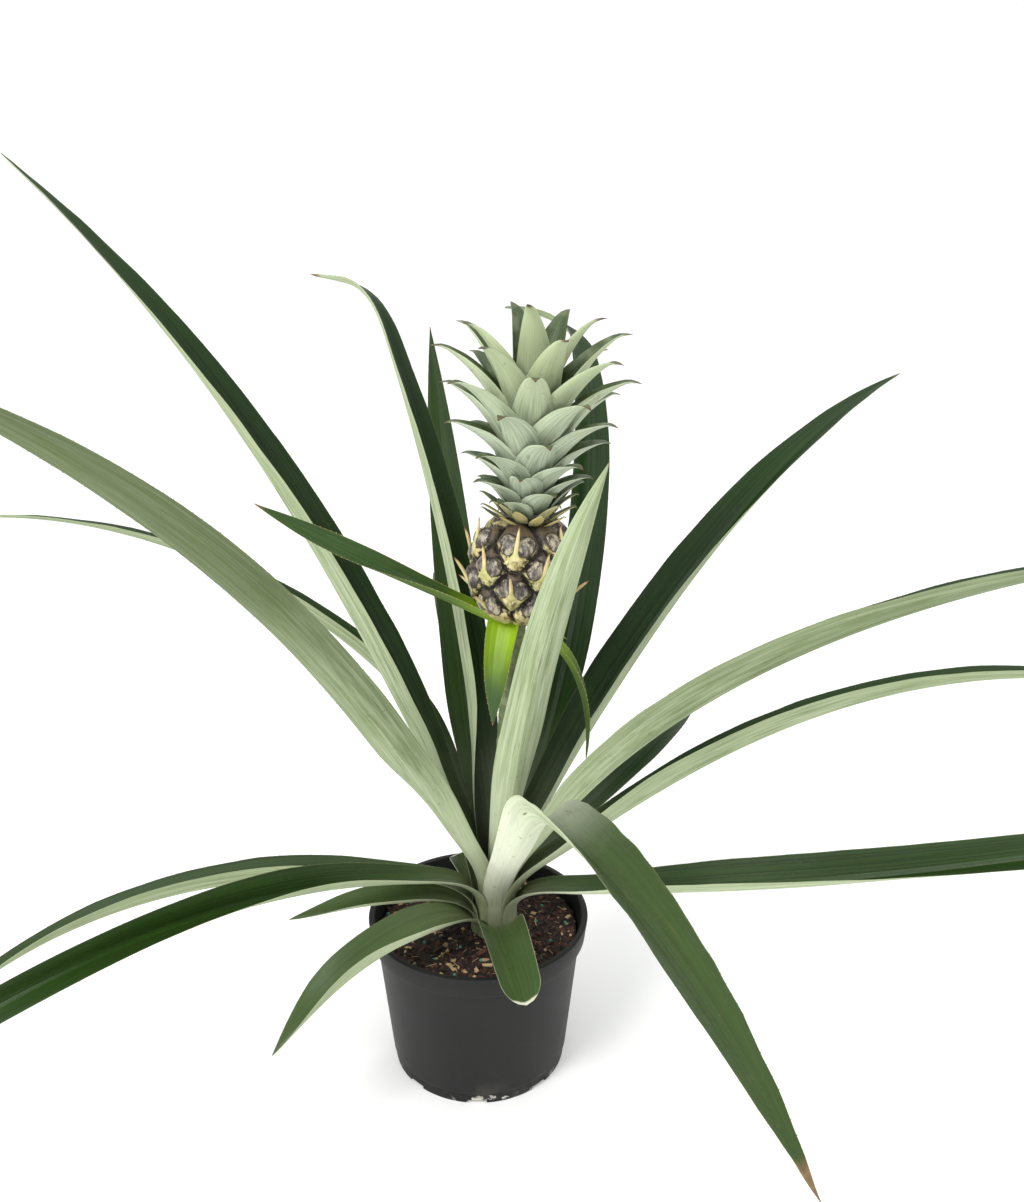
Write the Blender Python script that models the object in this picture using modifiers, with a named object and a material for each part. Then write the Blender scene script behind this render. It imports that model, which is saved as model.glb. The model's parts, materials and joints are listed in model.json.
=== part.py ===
# A potted ornamental pineapple plant: a nursery pot of soil, a rosette of channelled leaves,
# and one small fruit with its leafy crown on a short stalk.
# Units are metres, +Z is up, and the origin is the centre of the pot's resting pad.

from collections import namedtuple
from math import cos, hypot, pi, radians, sin, sqrt

import bmesh
import bpy
from mathutils import Matrix, Vector

FIT_GAP = 0.0003            # clearance between pieces that touch
SHARP_ANGLE = 40.0          # degrees between two faces that keep a hard edge

# Pot
RIM_RADIUS = 0.065
POT_HEIGHT = 0.0975
FOOT_RADIUS = 0.0515
POT_WALL = 0.0015
LIP_HEIGHT = 0.013
LIP_STEP = 0.0045           # how far the lip band stands out from the wall
LIP_WALL = 0.0036
LIP_DRAFT = 0.0016          # the lip band narrows by this towards its lower edge
EDGE_ROUND = 0.0010         # rounding of the pot's edges
FOOT_HEIGHT = 0.007         # height of the foot ring, which steps in under the wall
FOOT_STEP = 0.0012
FOOT_WIDTH = 0.0045
RECESS = 0.003              # how far the base plate is raised inside the foot ring
PAD_RADIUS = 0.014          # resting pad in the middle of the base
PAD_FLARE = 0.0020
FLOOR_COVE = 0.0045         # rounding between the base plate and the wall, inside
NOTCH_COUNT = 8
NOTCH_WIDTH = 0.011
NOTCH_HEIGHT = 0.0022
NOTCH_TURN = -93.0          # degrees, first notch
HOLE_COUNT = 6
HOLE_RADIUS = 0.0035
HOLE_CIRCLE = 0.031
HOLE_SEGMENTS = 12
POT_SEGMENTS = 40

# Soil
SOIL_DROP = 0.011           # soil surface below the rim
SOIL_RELIEF = 0.0011
SOIL_WAVE = 0.033           # crest to crest of the soil's broad lumps
SOIL_RIPPLE = 0.016         # crest to crest of its smaller ones
SOIL_RIPPLE_SHARE = 0.4
SOIL_SEGMENTS = 20
SOIL_RINGS = 4
SOIL_EDGE = 0.003           # height of the soil's worn edge against the wall
WELL_DEPTH = 0.006          # the hollow in the soil that the stem stands in
SAME_HEIGHT = 0.0001        # points this close in height lie on one level

# Stem and rosette
PLANT_X = 0.010             # the plant stands a little to one side of the pot's axis
STEM_HEIGHT = 0.036         # above the soil
STEM_BEVEL = 0.001
BLADE_THICKNESS = 0.0010
SHELL_START = 0.0090        # radius of the innermost leaf base
SHELL_STEP = 0.00125        # radius added by each shell of leaf bases further out
BASE_TOP = 0.034            # height of the innermost leaf base above the soil
BASE_STEP = 0.0025          # each shell further out starts this much lower
SHEATH_LENGTH = 0.045       # the upright clasping part of a leaf
SHEATH_RISE = 86.0
CLASP_ANGLE = 68.0          # half the arc that a leaf base wraps, degrees
BASE_NARROW = 0.55          # width of a leaf base, as a share of its full width
FREE_START = 0.030          # along a blade, where the arc begins to turn into a fold
FREE_SPAN = 0.080
ROLL_SPAN = 0.100           # length over which a blade takes up its roll
SWELL_SHARE = 0.35          # a blade reaches its full width this far along
TAPER_POWER = 3.0           # a blade keeps its width, then narrows quickly to the tip
TIP_WIDTH = 0.0012
TIP_VEE = 18.0              # fold left at a blade's tip
OPENING_START = 0.4         # share of a blade where its fold begins to open out
KEEL_ROUND = 0.25           # rounding of the fold, as a share of the half width
CREASE_SPAN = 0.14          # share of a leaf over which a fold turns
LEAF_ROWS = 12
LEAF_COLUMNS = 4
ROW_POWER = 1.2             # rows stand closer together near the base
ROW_STEPS = 6               # steps of the midrib's curve in each row
SHORT_LEAF = 0.2            # leaves under this length have half the rows

# Leaves from the innermost out. shell: its ring of leaf bases, 0 for the innermost; turn:
# direction round the plant, degrees from +X towards +Y; rise: slope where the blade leaves its
# sheath; droop and bend: how much and how late it arches over; sweep: sideways curve; roll:
# twist about the midrib; vee: how far each half of the blade is folded up along the midrib.
Leaf = namedtuple("Leaf", "name shell turn length width rise droop bend sweep roll vee")
LEAVES = (
    Leaf("leaf_back_left", 0, 124, 0.405, 0.036, 84, 30, 1.2, 4, -10, 45),
    Leaf("leaf_front", 0, -68, 0.309, 0.037, 76.5, 22, 1.4, 0, 25, 40),
    Leaf("leaf_right_tall", 1, 21, 0.405, 0.041, 56, 43.5, 2.2, 14, 10, 50),
    Leaf("leaf_left_tall", 1, 174, 0.474, 0.041, 67, 26, 2.3, -7, -5, 50),
    Leaf("leaf_centre_back", 2, 105, 0.330, 0.034, 61.5, -7.5, 0.5, -2, 15, 32),
    Leaf("leaf_left_broad", 3, -140, 0.481, 0.036, 66.5, 40, 1.4, 8, -60, 40),
    Leaf("leaf_right_back", 3, 56.5, 0.361, 0.036, 36, -15, 0.4, 36.5, -25, 40),
    Leaf("leaf_right_long", 4, -38, 0.501, 0.041, 64.5, 51, 0.9, 3, 10, 50),
    Leaf("leaf_left_slim", 4, 154, 0.379, 0.029, 68.5, 67.5, 1.2, 26.5, -60, 40),
    Leaf("leaf_folded", 5, -75, 0.416, 0.042, 55.5, 31, 1.2, -3, 10, 40),
    Leaf("leaf_right_short", 7, 31.5, 0.234, 0.034, 27.5, 35, 1.1, 36.5, -15, 40),
    Leaf("leaf_low_left", 6, -158, 0.422, 0.038, 20.5, 61.5, 1.0, 0, 44, 48),
    Leaf("leaf_back_low", 7, 98, 0.293, 0.034, 44.5, 58, 1.6, 0, 0, 42),
    Leaf("leaf_right_arched", 6, -15, 0.462, 0.038, 44, 79.5, 2.1, -1, 0, 45),
    Leaf("leaf_right_level", 8, -27, 0.476, 0.034, 8.5, -16, 0.5, 10, -35, 35),
    Leaf("leaf_low_left_back", 8, -179, 0.383, 0.035, 13.5, 56.5, 0.9, 9, 0, 40),
    Leaf("leaf_cut_back", 9, 126, 0.045, 0.030, 88, 47, 0.4, 0, 0, 40),
    Leaf("leaf_stub_left", 10, -170.5, 0.108, 0.027, 24.5, 38.5, 0.4, -8.5, 0, 40),
    Leaf("leaf_stub_front_left", 11, -138.5, 0.146, 0.034, 65, 104.5, 0.4, -10.5, -21, 48),
    Leaf("leaf_trimmed_front", 12, -87.5, 0.086, 0.034, 88, 112, 0.5, 12.5, -8, 40),
)
# Leaves with a sharp fold: where along the blade, and by how many degrees.
CREASES = {"leaf_folded": (0.30, 30), "leaf_back_left": (0.85, 55)}
# Leaves cut across by a blade, and how wide they still are at the cut, as a share.
CUT_LEAVES = {"leaf_cut_back": 0.9, "leaf_trimmed_front": 0.6}

# The stalk leans to +X. The fruit leans further, and the crown stands nearly upright on it.
STALK_LEAN = 0.0123         # over the stalk's length
FRUIT_LEAN = 6.5            # degrees
CROWN_LEAN = 2.4
STALK_LENGTH = 0.165
STALK_FOOT_RADIUS = 0.0050
STALK_TOP_RADIUS = 0.0060
STALK_RINGS = 12
STALK_SEAT = 0.0008         # the leaning foot of the stalk clears the stem's flat top
FRUIT_HEIGHT = 0.054
FRUIT_RADIUS = 0.0262
FRUIT_SQUARE = 2.8          # how barrel-shaped the fruit is: 2 gives a ball
FRUIT_RINGS = 12
FRUIT_SEGMENTS = 24
EYE_COUNT = 26
EYE_TURN = 65.3             # degrees from each eye to the next one up
EYE_FIRST_TURN = -35.7
EYE_MARGIN = 0.05           # share of the fruit's height left free at each end
EYE_WIDTH = 0.0215
EYE_HEIGHT = 0.0165
EYE_TOP = 0.54              # size of an eye's flat face, as a share of its foot
EYE_RAISED = 0.0020
EYE_SUNK = 0.0030
SPINE_LENGTH = 0.0125
SPINE_WIDTH = 0.0120
SPINE_THICKNESS = 0.0034
SPINE_TIP = 0.08            # size of a spine's tip, as a share of its root
SPINE_OUT = 0.32            # how far a spine's middle stands off the surface, in its lengths
SPINE_DROP = 0.30           # how far below the eye's middle it is rooted, in eye heights
SPINE_LEAN = 52.0           # degrees outwards from the fruit's surface upwards
GOLDEN_ANGLE = 180.0 * (3.0 - sqrt(5.0))

# Crown: pairs of values are for its lowest and its highest leaf.
CORE_HEIGHT = 0.046
CORE_BEVEL = 0.002
CORE_RADIUS = (0.0120, 0.0035)
CORE_SEGMENTS = 12
CROWN_COUNT = 44
CROWN_FIRST_TURN = 100.0    # degrees
CROWN_START = (0.0015, 0.042)
CROWN_LENGTH = (0.028, 0.079)
CROWN_LONGEST = 0.85        # share of the crown from which leaves have their full length
CROWN_WIDEST = 0.6
CROWN_TOP_CUT = 0.10        # how much shorter the topmost leaf is than the longest
CROWN_WIDTH = (0.017, 0.0235)
CROWN_TAPER = 2.0           # as TAPER_POWER, for the more oval crown leaves
CROWN_NARROW = 0.8          # width of a crown leaf's base, as a share of its full width
CROWN_RISE = (32.0, 60.0)
CROWN_HEART = 28.0          # how much steeper the innermost leaves stand
CROWN_HEART_POWER = 8.0
CROWN_DROOP = (45.0, 30.0)
CROWN_BEND = 2.0
CROWN_VEE = 28.0
CROWN_ROOT = 0.0025         # how deep a leaf is rooted in the core
CROWN_BLADE = 0.0009
CROWN_ROWS = 4
CROWN_COLUMNS = 2

# Bracts under the fruit, placed as leaves are, but starting on the stalk.
BRACTS = (
    Leaf("bract_left_long", 0, -168, 0.150, 0.021, 29.5, -6, 1.3, 3, 20, 28),
    Leaf("bract_front", 1, -124, 0.050, 0.018, -34, 35, 0.8, -1, 0, 30),
    Leaf("bract_right", 2, -3, 0.090, 0.018, 18, 112, 0.3, 2, 0, 35),
    Leaf("bract_right_small", 3, 35, 0.030, 0.012, -8, 30, 1.0, 0, 0, 30),
)
BRACT_START = 0.0075        # radius where the innermost bract starts
BRACT_SHELL = 0.0010        # radius added by each bract
BRACT_DROP = 0.0055         # below the fruit
BRACT_STEP = 0.0025
BRACT_ROWS = 8
BRACT_COLUMNS = 2

MATERIALS = {
    "pot": ((0.045, 0.048, 0.045), 0.62),
    "soil": ((0.030, 0.014, 0.009), 0.95),
    "leaf": ((0.055, 0.130, 0.030), 0.45),
    "stalk": ((0.200, 0.270, 0.150), 0.60),
    "fruit": ((0.200, 0.130, 0.120), 0.60),
    "crown": ((0.300, 0.380, 0.240), 0.55),
}


def ease(t):
    """Smooth step from 0 to 1."""
    t = min(max(t, 0.0), 1.0)
    return t * t * (3.0 - 2.0 * t)


def blend(a, b, t):
    return a + (b - a) * t


def material(kind):
    """The named material, made when first asked for."""
    if kind in bpy.data.materials:
        return bpy.data.materials[kind]
    colour, roughness = MATERIALS[kind]
    made = bpy.data.materials.new(kind)
    made.use_nodes = True
    shader = made.node_tree.nodes["Principled BSDF"]
    shader.inputs["Base Color"].default_value = (*colour, 1.0)
    shader.inputs["Roughness"].default_value = roughness
    shader.inputs["Metallic"].default_value = 0.0
    return made


def place(name, mesh, kind, collection):
    """An object for a mesh, in a collection, with a material and smooth shading."""
    thing = bpy.data.objects.new(name, mesh)
    collection.objects.link(thing)
    mesh.materials.clear()
    mesh.materials.append(material(kind))
    return thing


def mesh_from(bm, name):
    mesh = bpy.data.meshes.new(name)
    bm.to_mesh(mesh)
    bm.free()
    mesh.shade_smooth()
    mesh.set_sharp_from_angle(angle=radians(SHARP_ANGLE))
    return mesh


def evaluated_copy(thing, name):
    """The mesh of an object with its modifiers applied; the object is removed."""
    bpy.context.view_layer.update()
    graph = bpy.context.evaluated_depsgraph_get()
    mesh = bpy.data.meshes.new_from_object(thing.evaluated_get(graph))
    mesh.name = name
    bpy.data.objects.remove(thing)
    return mesh


def turned(name, profile, segments, kind, collection):
    """A solid of revolution about Z from (radius, height) points, outer side running down."""
    bm = bmesh.new()
    corners = [bm.verts.new((radius, 0.0, height)) for radius, height in profile]
    for first, second in zip(corners, corners[1:]):
        bm.edges.new((first, second))
    mesh = bpy.data.meshes.new(name)
    bm.to_mesh(mesh)
    bm.free()
    thing = place(name, mesh, kind, collection)
    screw = thing.modifiers.new("Turn", "SCREW")
    screw.axis = "Z"
    screw.steps = segments
    screw.render_steps = segments
    screw.use_smooth_shade = True
    screw.use_merge_vertices = True
    screw.merge_threshold = 0.00001
    return thing


def hide_cutter(thing):
    thing.hide_render = True
    thing.display_type = "WIRE"


def boolean(thing, operation, cutters):
    change = thing.modifiers.new(operation.title(), "BOOLEAN")
    change.operation = operation
    change.operand_type = "COLLECTION"
    change.collection = cutters
    change.solver = "EXACT"


# ---- Pot ---------------------------------------------------------------------------------

def wall_radius(height):
    """Outer radius of the tapered wall."""
    top = POT_HEIGHT - LIP_HEIGHT
    share = (height - FOOT_HEIGHT) / (top - FOOT_HEIGHT)
    return blend(FOOT_RADIUS + FOOT_STEP, RIM_RADIUS - LIP_STEP, share)


def inside_radius(height):
    return wall_radius(height) - POT_WALL


def pot_profile():
    """Section of the pot: inside from the middle up, over the rim, then down the outside."""
    lip_foot = POT_HEIGHT - LIP_HEIGHT
    floor = RECESS + POT_WALL
    cove = floor + FLOOR_COVE
    neck = lip_foot - 2.0 * EDGE_ROUND
    return [
        (0.0, POT_WALL),
        (PAD_RADIUS - EDGE_ROUND, POT_WALL),
        (PAD_RADIUS + EDGE_ROUND, floor),
        (inside_radius(floor) - FLOOR_COVE, floor),
        (inside_radius(cove), cove),
        (inside_radius(neck), neck),
        (RIM_RADIUS - LIP_WALL - LIP_DRAFT, lip_foot + EDGE_ROUND),
        (RIM_RADIUS - LIP_WALL, POT_HEIGHT - EDGE_ROUND),
        (RIM_RADIUS - LIP_WALL + EDGE_ROUND, POT_HEIGHT),
        (RIM_RADIUS - EDGE_ROUND, POT_HEIGHT),
        (RIM_RADIUS, POT_HEIGHT - EDGE_ROUND),
        (RIM_RADIUS - LIP_DRAFT, lip_foot + EDGE_ROUND),
        (RIM_RADIUS - LIP_DRAFT - EDGE_ROUND / 2.0, lip_foot),
        (wall_radius(lip_foot - EDGE_ROUND), lip_foot - EDGE_ROUND),
        (wall_radius(FOOT_HEIGHT + EDGE_ROUND), FOOT_HEIGHT + EDGE_ROUND),
        (FOOT_RADIUS, FOOT_HEIGHT),
        (FOOT_RADIUS, 2.0 * EDGE_ROUND),
        (FOOT_RADIUS - EDGE_ROUND, 0.0),
        (FOOT_RADIUS - FOOT_WIDTH, 0.0),
        (FOOT_RADIUS - FOOT_WIDTH - EDGE_ROUND, RECESS),
        (PAD_RADIUS + PAD_FLARE, RECESS),
        (PAD_RADIUS, 0.0),
        (0.0, 0.0),
    ]


def notch_cutters(cutters):
    """Blocks that open the gaps in the foot ring."""
    for index in range(NOTCH_COUNT):
        turn = radians(NOTCH_TURN + 360.0 * index / NOTCH_COUNT)
        bm = bmesh.new()
        bmesh.ops.create_cube(bm, size=1.0)
        bmesh.ops.scale(bm, vec=(FOOT_WIDTH * 3.0, NOTCH_WIDTH, NOTCH_HEIGHT * 2.0), verts=bm.verts)
        mesh = mesh_from(bm, "notch_cutter")
        cutter = bpy.data.objects.new("notch_cutter", mesh)
        cutter.location = (FOOT_RADIUS * cos(turn), FOOT_RADIUS * sin(turn), 0.0)
        cutter.rotation_euler.z = turn
        cutters.objects.link(cutter)
        hide_cutter(cutter)


def hole_cutters(cutters):
    """Drain holes through the base plate."""
    for index in range(HOLE_COUNT):
        turn = 2.0 * pi * index / HOLE_COUNT
        bm = bmesh.new()
        bmesh.ops.create_cone(bm, cap_ends=True, segments=HOLE_SEGMENTS, radius1=HOLE_RADIUS,
                              radius2=HOLE_RADIUS, depth=POT_WALL * 6.0)
        mesh = mesh_from(bm, "hole_cutter")
        cutter = bpy.data.objects.new("hole_cutter", mesh)
        cutter.location = (HOLE_CIRCLE * cos(turn), HOLE_CIRCLE * sin(turn), RECESS)
        cutters.objects.link(cutter)
        hide_cutter(cutter)


def make_pot(part, cutters):
    pot = turned("pot", pot_profile(), POT_SEGMENTS, "pot", part)
    notch_cutters(cutters)
    hole_cutters(cutters)
    boolean(pot, "DIFFERENCE", cutters)


# ---- Soil --------------------------------------------------------------------------------

SOIL_TOP = POT_HEIGHT - SOIL_DROP


def stem_radius(height):
    """Radius of the stem's cone at a height above the soil, just inside the leaf bases."""
    inner = SHELL_START - BLADE_THICKNESS / 2.0 - FIT_GAP
    return inner + SHELL_STEP / BASE_STEP * (BASE_TOP - height)


def soil_relief(x, y):
    """Gentle lumps of the soil surface."""
    broad = sin(2.0 * pi * x / SOIL_WAVE + 1.0) * cos(2.0 * pi * y / SOIL_WAVE)
    fine = sin(2.0 * pi * (x - y) / SOIL_RIPPLE)
    return SOIL_RELIEF * blend(broad, fine, SOIL_RIPPLE_SHARE)


def make_soil(part):
    """The root ball: a turned plug that fills the pot, with a well round the stem."""
    floor = RECESS + POT_WALL + FIT_GAP
    cove = floor + FLOOR_COVE
    well = stem_radius(0.0) + FIT_GAP
    edge = inside_radius(SOIL_TOP - SOIL_EDGE) - FIT_GAP
    shoulder = edge - SOIL_EDGE / 2.0
    profile = [(0.0, SOIL_TOP - WELL_DEPTH), (well, SOIL_TOP - WELL_DEPTH), (well, SOIL_TOP)]
    for ring in range(SOIL_RINGS):
        profile.append((blend(well, shoulder, (ring + 1) / SOIL_RINGS), SOIL_TOP))
    profile += [
        (edge - FIT_GAP, SOIL_TOP - SOIL_EDGE),
        (inside_radius(cove) - 2.0 * FIT_GAP, cove),
        (inside_radius(floor) - FLOOR_COVE - 2.0 * FIT_GAP, floor),
        (0.0, floor),
    ]
    blank = turned("soil_blank", profile, SOIL_SEGMENTS, "soil", part)
    mesh = evaluated_copy(blank, "soil")
    bm = bmesh.new()
    bm.from_mesh(mesh)
    for vert in bm.verts:
        radius = hypot(vert.co.x, vert.co.y)
        if vert.co.z > SOIL_TOP - SAME_HEIGHT and radius > well + FIT_GAP:
            vert.co.z += soil_relief(vert.co.x, vert.co.y)
        if vert.co.z > SOIL_TOP - WELL_DEPTH - SAME_HEIGHT:
            vert.co.x += PLANT_X * (1.0 - ease((radius - well) / (shoulder - well)))
    bmesh.ops.triangulate(bm, faces=bm.faces)
    bm.to_mesh(mesh)
    bm.free()
    place("soil", mesh, "soil", part)


# ---- Stem --------------------------------------------------------------------------------

def make_stem(part):
    """A short stout cone, whose slope carries the leaf bases one above the other."""
    foot = stem_radius(0.0)
    profile = [
        (0.0, SOIL_TOP + STEM_HEIGHT),
        (stem_radius(STEM_HEIGHT) - STEM_BEVEL, SOIL_TOP + STEM_HEIGHT),
        (stem_radius(STEM_HEIGHT - STEM_BEVEL), SOIL_TOP + STEM_HEIGHT - STEM_BEVEL),
        (foot, SOIL_TOP),
        (foot, SOIL_TOP - WELL_DEPTH + FIT_GAP),
        (0.0, SOIL_TOP - WELL_DEPTH + FIT_GAP),
    ]
    stem = turned("stem", profile, SOIL_SEGMENTS, "stalk", part)
    stem.location.x = PLANT_X


# ---- Blades: leaves, bracts and crown leaves -------------------------------------------------

def half_width(leaf, share):
    """Half the width of a strap-shaped blade that narrows to a point, or to its cut."""
    narrow = CROWN_NARROW if leaf.name == "crown_leaf" else BASE_NARROW
    swell = blend(narrow, 1.0, ease(share / SWELL_SHARE))
    if leaf.name in CUT_LEAVES:
        taper = blend(1.0, CUT_LEAVES[leaf.name], share ** 2)
    else:
        taper = 1.0 - share ** (CROWN_TAPER if leaf.name == "crown_leaf" else TAPER_POWER)
    return max(leaf.width * swell * taper, TIP_WIDTH) / 2.0


def slope(leaf, share, sheath):
    """Angle of the midrib above the horizontal, in degrees."""
    rise = leaf.rise - leaf.droop * share ** leaf.bend
    if leaf.name in CREASES:
        fold_at, fold = CREASES[leaf.name]
        rise -= fold * ease((share - fold_at) / CREASE_SPAN + 0.5)
    upright = max(0.0, 1.0 - share * leaf.length / sheath) if sheath > 0.0 else 0.0
    return rise + (SHEATH_RISE - leaf.rise) * upright ** 2


def midrib(leaf, start, rows, sheath):
    """Frames along the blade: share of length, point, side and up directions."""
    frames = []
    point = start.copy()
    last = 0.0
    for row in range(rows + 1):
        share = (row / rows) ** ROW_POWER
        for step in range(ROW_STEPS):
            middle = blend(last, share, (step + 0.5) / ROW_STEPS)
            point += heading(leaf, middle, sheath) * ((share - last) * leaf.length / ROW_STEPS)
        last = share
        along = heading(leaf, share, sheath)
        turn = radians(leaf.turn + leaf.sweep * share)
        side = Vector((sin(turn), -cos(turn), 0.0))
        up = side.cross(along)
        roll = radians(leaf.roll) * ease((share * leaf.length - FREE_START) / ROLL_SPAN)
        frames.append((share, point.copy(), side * cos(roll) + up * sin(roll),
                       up * cos(roll) - side * sin(roll)))
    return frames


def heading(leaf, share, sheath):
    rise = radians(slope(leaf, share, sheath))
    turn = radians(leaf.turn + leaf.sweep * share)
    return Vector((cos(rise) * cos(turn), cos(rise) * sin(turn), sin(rise)))


def section(leaf, share, across, base_radius):
    """Sideways and upward offset of a point of the blade: an arc round the stem, then a fold."""
    half = half_width(leaf, share)
    arc = min(radians(CLASP_ANGLE), half / base_radius)
    opening = ease((share - OPENING_START) / (1.0 - OPENING_START))
    vee = radians(blend(leaf.vee, TIP_VEE, opening))
    free = ease((share * leaf.length - FREE_START) / FREE_SPAN)
    keel = (hypot(across, KEEL_ROUND) - KEEL_ROUND) / (hypot(1.0, KEEL_ROUND) - KEEL_ROUND)
    sideways = blend(half / arc * sin(across * arc), half * across * cos(vee), free)
    upward = blend(half / arc * (1.0 - cos(across * arc)), half * sin(vee) * keel, free)
    return sideways, upward


def blade_mesh(leaf, start, base_radius, rows, columns, sheath):
    """An open sheet: a flat grid carried along the midrib and folded into a channel."""
    frames = midrib(leaf, start, rows, sheath)
    bm = bmesh.new()
    bmesh.ops.create_grid(bm, x_segments=rows, y_segments=columns, size=0.5)
    for vert in bm.verts:
        row = round((vert.co.x + 0.5) * rows)
        share, point, side, up = frames[row]
        sideways, upward = section(leaf, share, vert.co.y * 2.0, base_radius)
        vert.co = point + side * sideways + up * upward
    return mesh_from(bm, leaf.name)


def thicken(blade, thickness):
    """Split the sheet alike on both faces, then give it its thickness."""
    split = blade.modifiers.new("Split", "TRIANGULATE")
    split.quad_method = "FIXED"
    solid = blade.modifiers.new("Thickness", "SOLIDIFY")
    solid.thickness = thickness
    solid.offset = 0.0


def make_leaves(part):
    for leaf in LEAVES:
        radius = SHELL_START + SHELL_STEP * leaf.shell
        turn = radians(leaf.turn)
        height = SOIL_TOP + BASE_TOP - BASE_STEP * leaf.shell
        start = Vector((PLANT_X + radius * cos(turn), radius * sin(turn), height))
        rows = LEAF_ROWS if leaf.length > SHORT_LEAF else LEAF_ROWS // 2
        mesh = blade_mesh(leaf, start, radius, rows, LEAF_COLUMNS, SHEATH_LENGTH)
        thicken(place(leaf.name, mesh, "leaf", part), BLADE_THICKNESS)


# ---- Stalk and bracts ------------------------------------------------------------------------

AXIS_FOOT = SOIL_TOP + STEM_HEIGHT


def axis_point(height):
    """Point of the leaning stalk's axis at a height above the stem."""
    return Vector((PLANT_X + STALK_LEAN * height / STALK_LENGTH, 0.0, AXIS_FOOT + height))


def fruit_frame():
    """Matrix that stands the fruit on the stalk, its Z along the fruit."""
    return Matrix.Translation(axis_point(STALK_LENGTH)) @ Matrix.Rotation(radians(FRUIT_LEAN), 4, "Y")


def crown_frame():
    """Matrix that stands the crown on the fruit."""
    top = fruit_frame() @ Vector((0.0, 0.0, FRUIT_HEIGHT))
    return Matrix.Translation(top) @ Matrix.Rotation(radians(CROWN_LEAN), 4, "Y")


def make_stalk(part):
    curve = bpy.data.curves.new("stalk", "CURVE")
    curve.dimensions = "3D"
    curve.bevel_depth = 1.0
    curve.bevel_resolution = 2
    curve.use_fill_caps = True
    line = curve.splines.new("POLY")
    line.points.add(STALK_RINGS)
    for index, point in enumerate(line.points):
        share = index / STALK_RINGS
        height = blend(STALK_SEAT, STALK_LENGTH - FIT_GAP, share)
        point.co = (*axis_point(height), 1.0)
        point.radius = blend(STALK_FOOT_RADIUS, STALK_TOP_RADIUS, share ** 2)
    stalk = bpy.data.objects.new("stalk", curve)
    part.objects.link(stalk)
    curve.materials.append(material("stalk"))


def make_bracts(part):
    for bract in BRACTS:
        radius = BRACT_START + BRACT_SHELL * bract.shell
        turn = radians(bract.turn)
        middle = axis_point(STALK_LENGTH - BRACT_DROP - BRACT_STEP * bract.shell)
        start = middle + Vector((radius * cos(turn), radius * sin(turn), 0.0))
        mesh = blade_mesh(bract, start, radius, BRACT_ROWS, BRACT_COLUMNS, 0.0)
        thicken(place(bract.name, mesh, "leaf", part), BLADE_THICKNESS)


# ---- Fruit -----------------------------------------------------------------------------------

def fruit_radius(share):
    """Barrel outline of the fruit, from its foot (0) to its top (1)."""
    return FRUIT_RADIUS * sqrt(1.0 - abs(2.0 * share - 1.0) ** FRUIT_SQUARE)


def fruit_spot(share, turn):
    """Point, outward and upward directions on the fruit's surface, in the fruit's own frame."""
    step = 0.01
    low = max(share - step, 0.0)
    high = min(share + step, 1.0)
    grow = (fruit_radius(high) - fruit_radius(low)) / ((high - low) * FRUIT_HEIGHT)
    out = Vector((cos(turn), sin(turn), 0.0))
    upward = (out * grow + Vector((0.0, 0.0, 1.0))).normalized()
    outward = Vector((-sin(turn), cos(turn), 0.0)).cross(upward).normalized()
    return out * fruit_radius(share) + Vector((0.0, 0.0, share * FRUIT_HEIGHT)), outward, upward


def fruit_body(part):
    profile = []
    for ring in range(FRUIT_RINGS + 1):
        share = 1.0 - ring / FRUIT_RINGS
        profile.append((fruit_radius(share), FRUIT_HEIGHT * share))
    blank = turned("fruit_blank", profile, FRUIT_SEGMENTS, "fruit", part)
    return evaluated_copy(blank, "fruit")


def eye_mesh(shape, size):
    """A raised shield with six sides; size is its share of the height of a full eye."""
    centre = (0.0, 0.0, 0.0)
    corner_up = Matrix.Rotation(pi / 6.0, 3, "Z")
    extent = (EYE_HEIGHT * size, EYE_WIDTH * sqrt(size), EYE_RAISED + EYE_SUNK)
    middle = (0.0, 0.0, (EYE_RAISED - EYE_SUNK) / 2.0)
    bm = bmesh.new()
    bmesh.ops.create_cone(bm, cap_ends=True, segments=6, radius1=0.5,
                          radius2=0.5 * EYE_TOP, depth=1.0)
    bmesh.ops.rotate(bm, cent=centre, matrix=corner_up, verts=bm.verts)
    bmesh.ops.scale(bm, vec=extent, verts=bm.verts)
    bmesh.ops.translate(bm, vec=middle, verts=bm.verts)
    bm.transform(shape)
    return mesh_from(bm, "eye")


def spine_mesh(shape):
    """A flattened pointed bract, rooted in the eye's lower half."""
    size = (SPINE_THICKNESS, SPINE_WIDTH, SPINE_LENGTH)
    bm = bmesh.new()
    bmesh.ops.create_cone(bm, cap_ends=True, segments=4, radius1=0.5,
                          radius2=0.5 * SPINE_TIP, depth=1.0)
    bmesh.ops.scale(bm, vec=size, verts=bm.verts)
    bmesh.ops.translate(bm, vec=(0.0, 0.0, SPINE_LENGTH * SPINE_OUT), verts=bm.verts)
    bm.transform(shape)
    return mesh_from(bm, "spine")


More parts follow.
